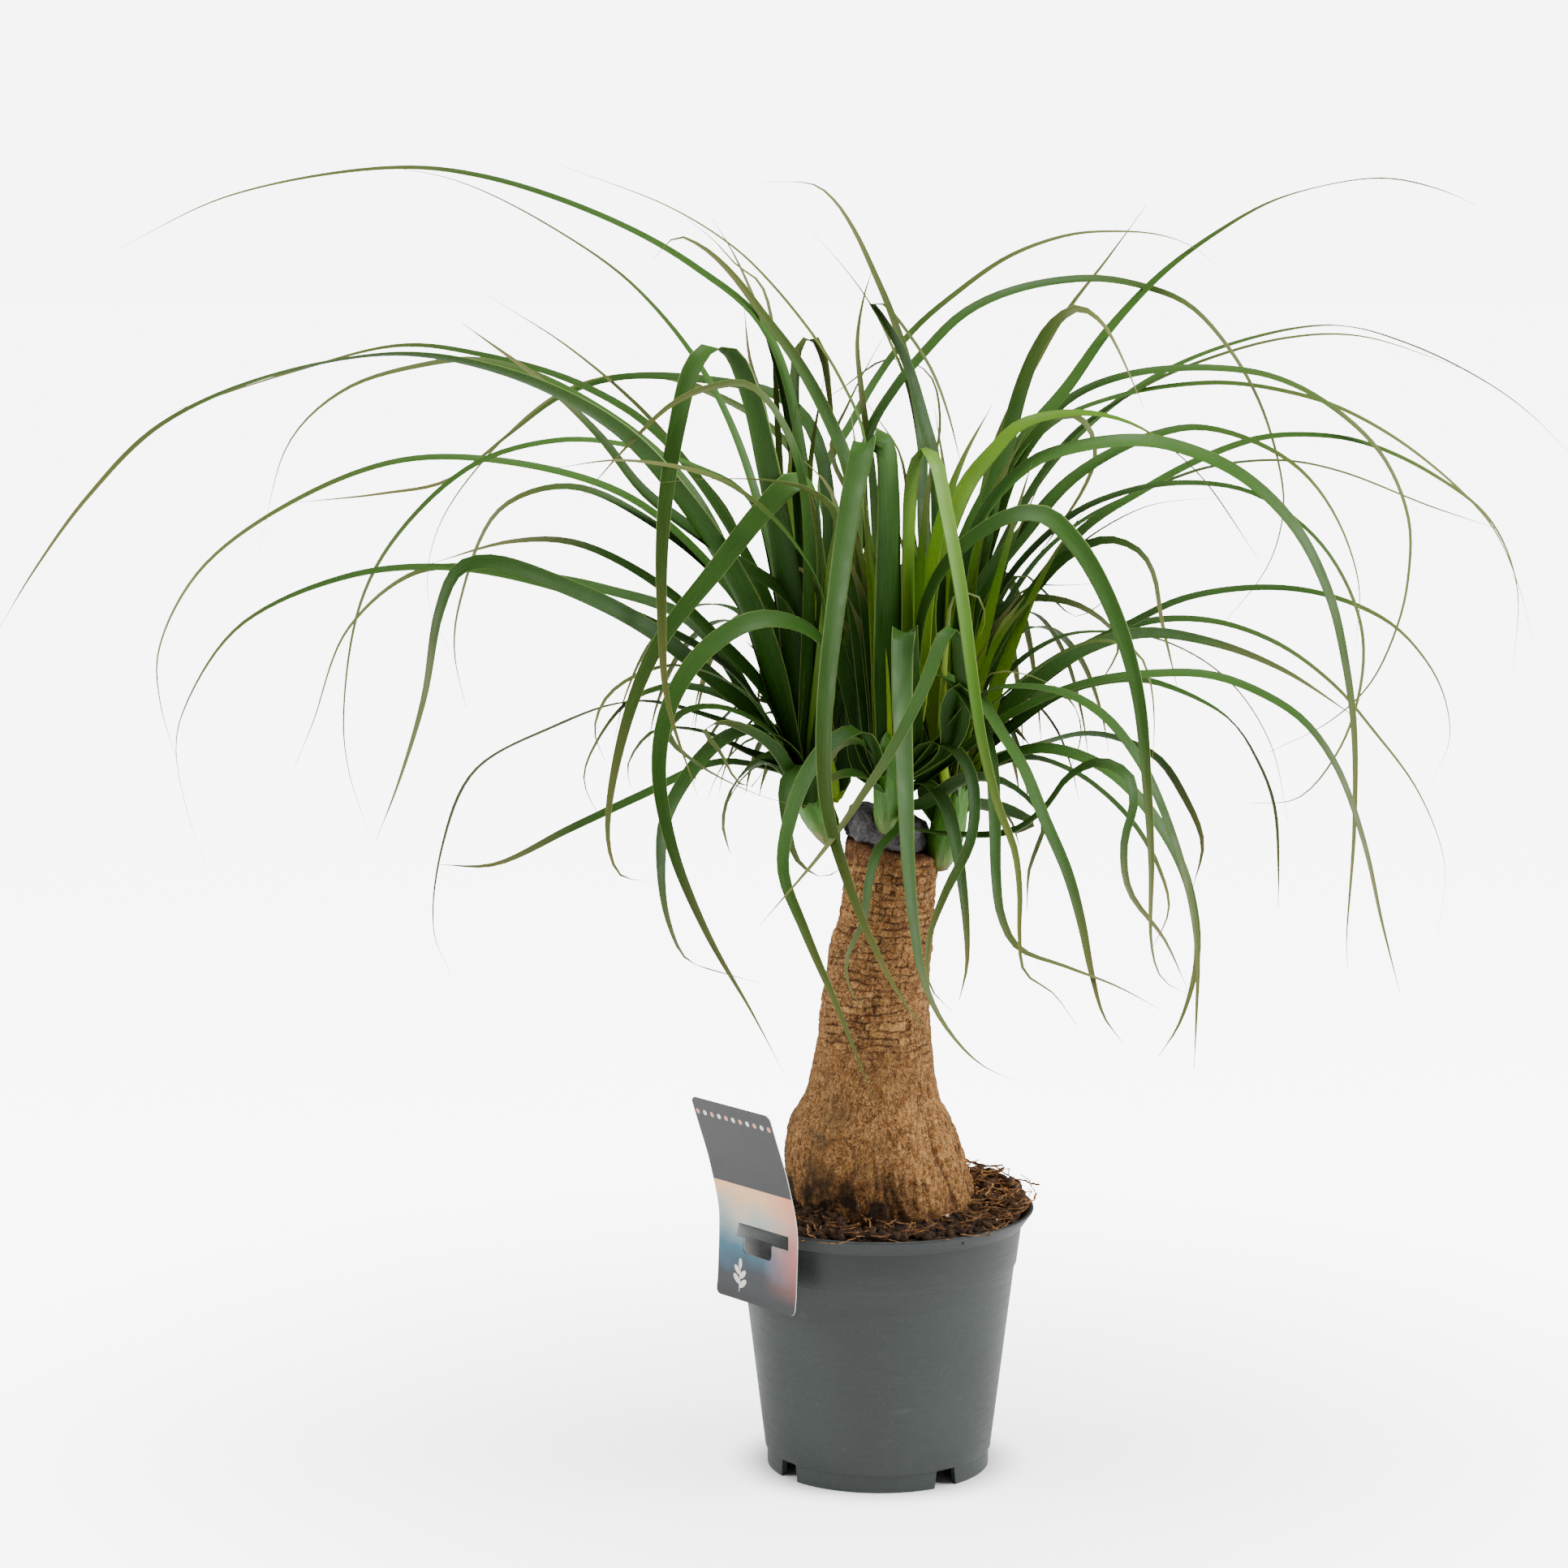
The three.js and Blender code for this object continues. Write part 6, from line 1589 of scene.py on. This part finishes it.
def crumb_height(x, y):
    """Fine clods on top of the lumps, fading out at the rim."""
    clods = abs(noise.noise(Vector((x / 6, y / 6, 2)))) * 5.0
    clods += noise.noise(Vector((x / 2.2, y / 2.2, 8))) * 1.5
    heap = SOIL["tufts"] * smoothstep(x + 0.5 * y, 48, 76) * (0.8 + noise.noise(Vector((x / 9, y / 9, 4))))
    away = math.hypot(x, y)
    drift = SOIL["drift"] * smoothstep(68 - away, 0, 16) * smoothstep(-x, 8, 34) * smoothstep(-y, 0, 20)
    hollow = SOIL["hollow"] * smoothstep(11 - math.hypot(x + 12, y + 56), 0, 8)
    return (clods + heap + drift) * smoothstep(83.5 - away, 0, 4) - hollow


def peat_mesh():
    columns = SOIL["columns"]
    flange = POT["height"] - POT["flange_height"]
    rings = [(pot_outside(100) - 3.2, 100), (pot_outside(flange - 2) - 3.0, flange - 2)]
    outer = POT["rim"] - POT["wall"] - 2.8
    radii = list(np.linspace(outer, 44, 44))
    points, faces = [], []
    for radius, z in rings:
        points += [(*along_heading(2 * math.pi * c / columns, radius, 0), z) for c in range(columns)]
    for radius in radii:
        for c in range(columns):
            turn = 2 * math.pi * c / columns
            x, y = radius * math.cos(turn), radius * math.sin(turn)
            points.append((x, y, soil_level(x, y) + crumb_height(x, y) - 0.4))
    rows = len(rings) + len(radii)
    faces = ring_faces(rows, columns)
    points += [(0, 0, 100), (0, 0, SOIL["level"] - 2)]
    start = (rows - 1) * columns
    faces += [(len(points) - 2, (c + 1) % columns, c) for c in range(columns)]
    faces += [(len(points) - 1, start + c, start + (c + 1) % columns) for c in range(columns)]
    return mesh_from("peat", points, faces)


def peat_finish(name, dark, light, front_shade=0.55):
    """Crumbly peat, with painted shade that darkens it towards the front by the given share."""
    finish, tree, shader = material(name, roughness=0.95, specular=0.2)
    place = object_place(tree)
    colour = use_group(tree, MOTTLE, {"Place": place, "Size": 0.004, "Dark": dark, "Light": light,
                                      "Sharpness": 3.0})["Colour"]
    # Painted shade: the colour is darkened towards the front of the pot.
    front = add_node(tree, "ShaderNodeMapRange", {0: axes(tree, place)["Y"], 1: -0.05, 2: 0.0, 3: front_shade,
                                                  4: 0.0}).outputs[0]
    colour = blend_colours(tree, front, colour, srgb(12, 8, 5))
    tree.links.new(colour, shader.inputs["Base Color"])
    fine = noise_value(tree, place, 0.0012, detail=6, roughness=0.7)
    tree.links.new(bump(tree, fine, 0.0012, 0.9), shader.inputs["Normal"])
    return finish


PEAT_FINISH = peat_finish("peat_with_front_shade", srgb(28, 19, 13), srgb(98, 70, 48))
peat = piece("peat_bed", peat_mesh(), PEAT_FINISH, "soil")

# %% [markdown]
# Two trees scatter the small stuff. One drops lumpy grains; the other lays short bent fibres, each
# a thin tube swept along an arc. Both take points from a ring of ground between trunk and rim.

# %% Scatter trees
def scatter_tree(name, fibres):
    """Grains or fibres on a surface, with named inputs for how many, how big and the seed."""
    tree, given, out = geometry_tree(name, [
        ("Density", NUMBER, 10000.0), ("Small", NUMBER, 0.001), ("Large", NUMBER, 0.003),
        ("Flatness", NUMBER, 0.7), ("Thickness", NUMBER, 0.035), ("Seed", "NodeSocketInt", 1),
        ("Finish", "NodeSocketMaterial", None)])
    spots = add_node(tree, "GeometryNodeDistributePointsOnFaces", {
        "Mesh": given["Geometry"], "Density": given["Density"], "Seed": given["Seed"]}, distribute_method="RANDOM")
    if fibres:
        arc = add_node(tree, "GeometryNodeCurveArc", {"Resolution": 9, "Radius": 1.0, "Start Angle": 0.2,
                                                      "Sweep Angle": 1.5}, mode="RADIUS").outputs["Curve"]
        wobble = add_node(tree, "ShaderNodeTexNoise", {"Scale": 1.7, "Detail": 1.0}).outputs["Color"]
        centred = vector_maths(tree, "SUBTRACT", wobble, (0.5, 0.5, 0.5))
        shifted = add_node(tree, "ShaderNodeVectorMath", {0: centred, "Scale": 0.7},
                           operation="SCALE").outputs[0]
        arc = add_node(tree, "GeometryNodeSetPosition", {"Geometry": arc, "Offset": shifted}).outputs[0]
        ring = add_node(tree, "GeometryNodeCurvePrimitiveCircle",
                        {"Resolution": 4, "Radius": given["Thickness"]}).outputs["Curve"]
        shape = add_node(tree, "GeometryNodeCurveToMesh", {"Curve": arc, "Profile Curve": ring,
                         "Fill Caps": True}).outputs[0]
    else:
        ball = add_node(tree, "GeometryNodeMeshIcoSphere", {"Radius": 1.0, "Subdivisions": 2}).outputs["Mesh"]
        wobble = add_node(tree, "ShaderNodeTexNoise", {"Scale": 1.3, "Detail": 2.0}).outputs["Color"]
        centred = vector_maths(tree, "SUBTRACT", wobble, (0.5, 0.5, 0.5))
        shape = add_node(tree, "GeometryNodeSetPosition", {"Geometry": ball, "Offset": centred}).outputs[0]
    size = add_node(tree, "FunctionNodeRandomValue", {
        2: given["Small"], 3: given["Large"], "Seed": given["Seed"]}, data_type="FLOAT").outputs[1]
    scale = add_node(tree, "ShaderNodeCombineXYZ", {"X": size, "Y": size, "Z": maths(tree, "MULTIPLY", size,
                     given["Flatness"])}).outputs[0]
    tilt = 0.35 if fibres else 1.0
    turn = add_node(tree, "FunctionNodeRandomValue", {0: (-tilt, -tilt, 0), 1: (tilt, tilt, 6.283),
                    "Seed": maths(tree, "ADD", given["Seed"], 7.0)}, data_type="FLOAT_VECTOR").outputs[0]
    copies = add_node(tree, "GeometryNodeInstanceOnPoints", {
        "Points": spots.outputs["Points"], "Instance": shape, "Rotation": turn, "Scale": scale}).outputs[0]
    tree.links.new(finished(tree, copies, given["Finish"], not fibres), out["Geometry"])
    return tree


GRAINS = scatter_tree("scattered_grains", fibres=False)
FIBRES = scatter_tree("scattered_fibres", fibres=True)


def ground(inner, outer, lift, start=0, end=360):
    """A ring of ground to scatter on, or its part between two azimuths."""
    columns, radii = 48, np.linspace(inner, outer, 9)
    turns = np.radians(np.linspace(start, end, columns + 1))
    points = [(r * math.cos(turn), r * math.sin(turn)) for r in radii for turn in turns]
    points = [(x, y, soil_level(x, y) + crumb_height(x, y) * 0.8 + lift) for x, y in points]
    across = columns + 1
    faces = [(r * across + c, (r + 1) * across + c, (r + 1) * across + c + 1, r * across + c + 1)
             for r in range(len(radii) - 1) for c in range(columns)]
    return mesh_from("ground", points, faces)


COIR = peat_finish("red_coir", srgb(74, 44, 24), srgb(176, 128, 78), front_shade=0.25)
PERLITE = peat_finish("white_perlite", srgb(200, 196, 188), srgb(238, 236, 230), front_shade=0.0)
SCATTER = [
    ("peat_crumbs", GRAINS, PEAT_FINISH, (50, 80.5, 0.8),
     dict(Density=90000.0, Small=0.0006, Large=0.0036, Flatness=0.7, Seed=3)),
    ("perlite_grains", GRAINS, PERLITE, (51, 79, 1.4),
     dict(Density=3000.0, Small=0.0005, Large=0.0016, Flatness=0.9, Seed=14)),
    ("coir_fibres", FIBRES, COIR, (50, 79, 1.8),
     dict(Density=34000.0, Small=0.004, Large=0.013, Flatness=0.7, Seed=5)),
    ("long_coir", FIBRES, COIR, (58, 77, 2.2),
     dict(Density=7000.0, Small=0.009, Large=0.018, Flatness=0.5, Seed=21)),
    ("heaped_coir", FIBRES, COIR, (58, 78, 3.0, -20, 60),
     dict(Density=26000.0, Small=0.005, Large=0.012, Flatness=0.8, Thickness=0.06, Seed=33)),
]
for name, tree, finish, where, values in SCATTER:
    mesh = run_tree(name, ground(*where), tree, {**values, "Finish": finish})
    piece(name, mesh, finish)
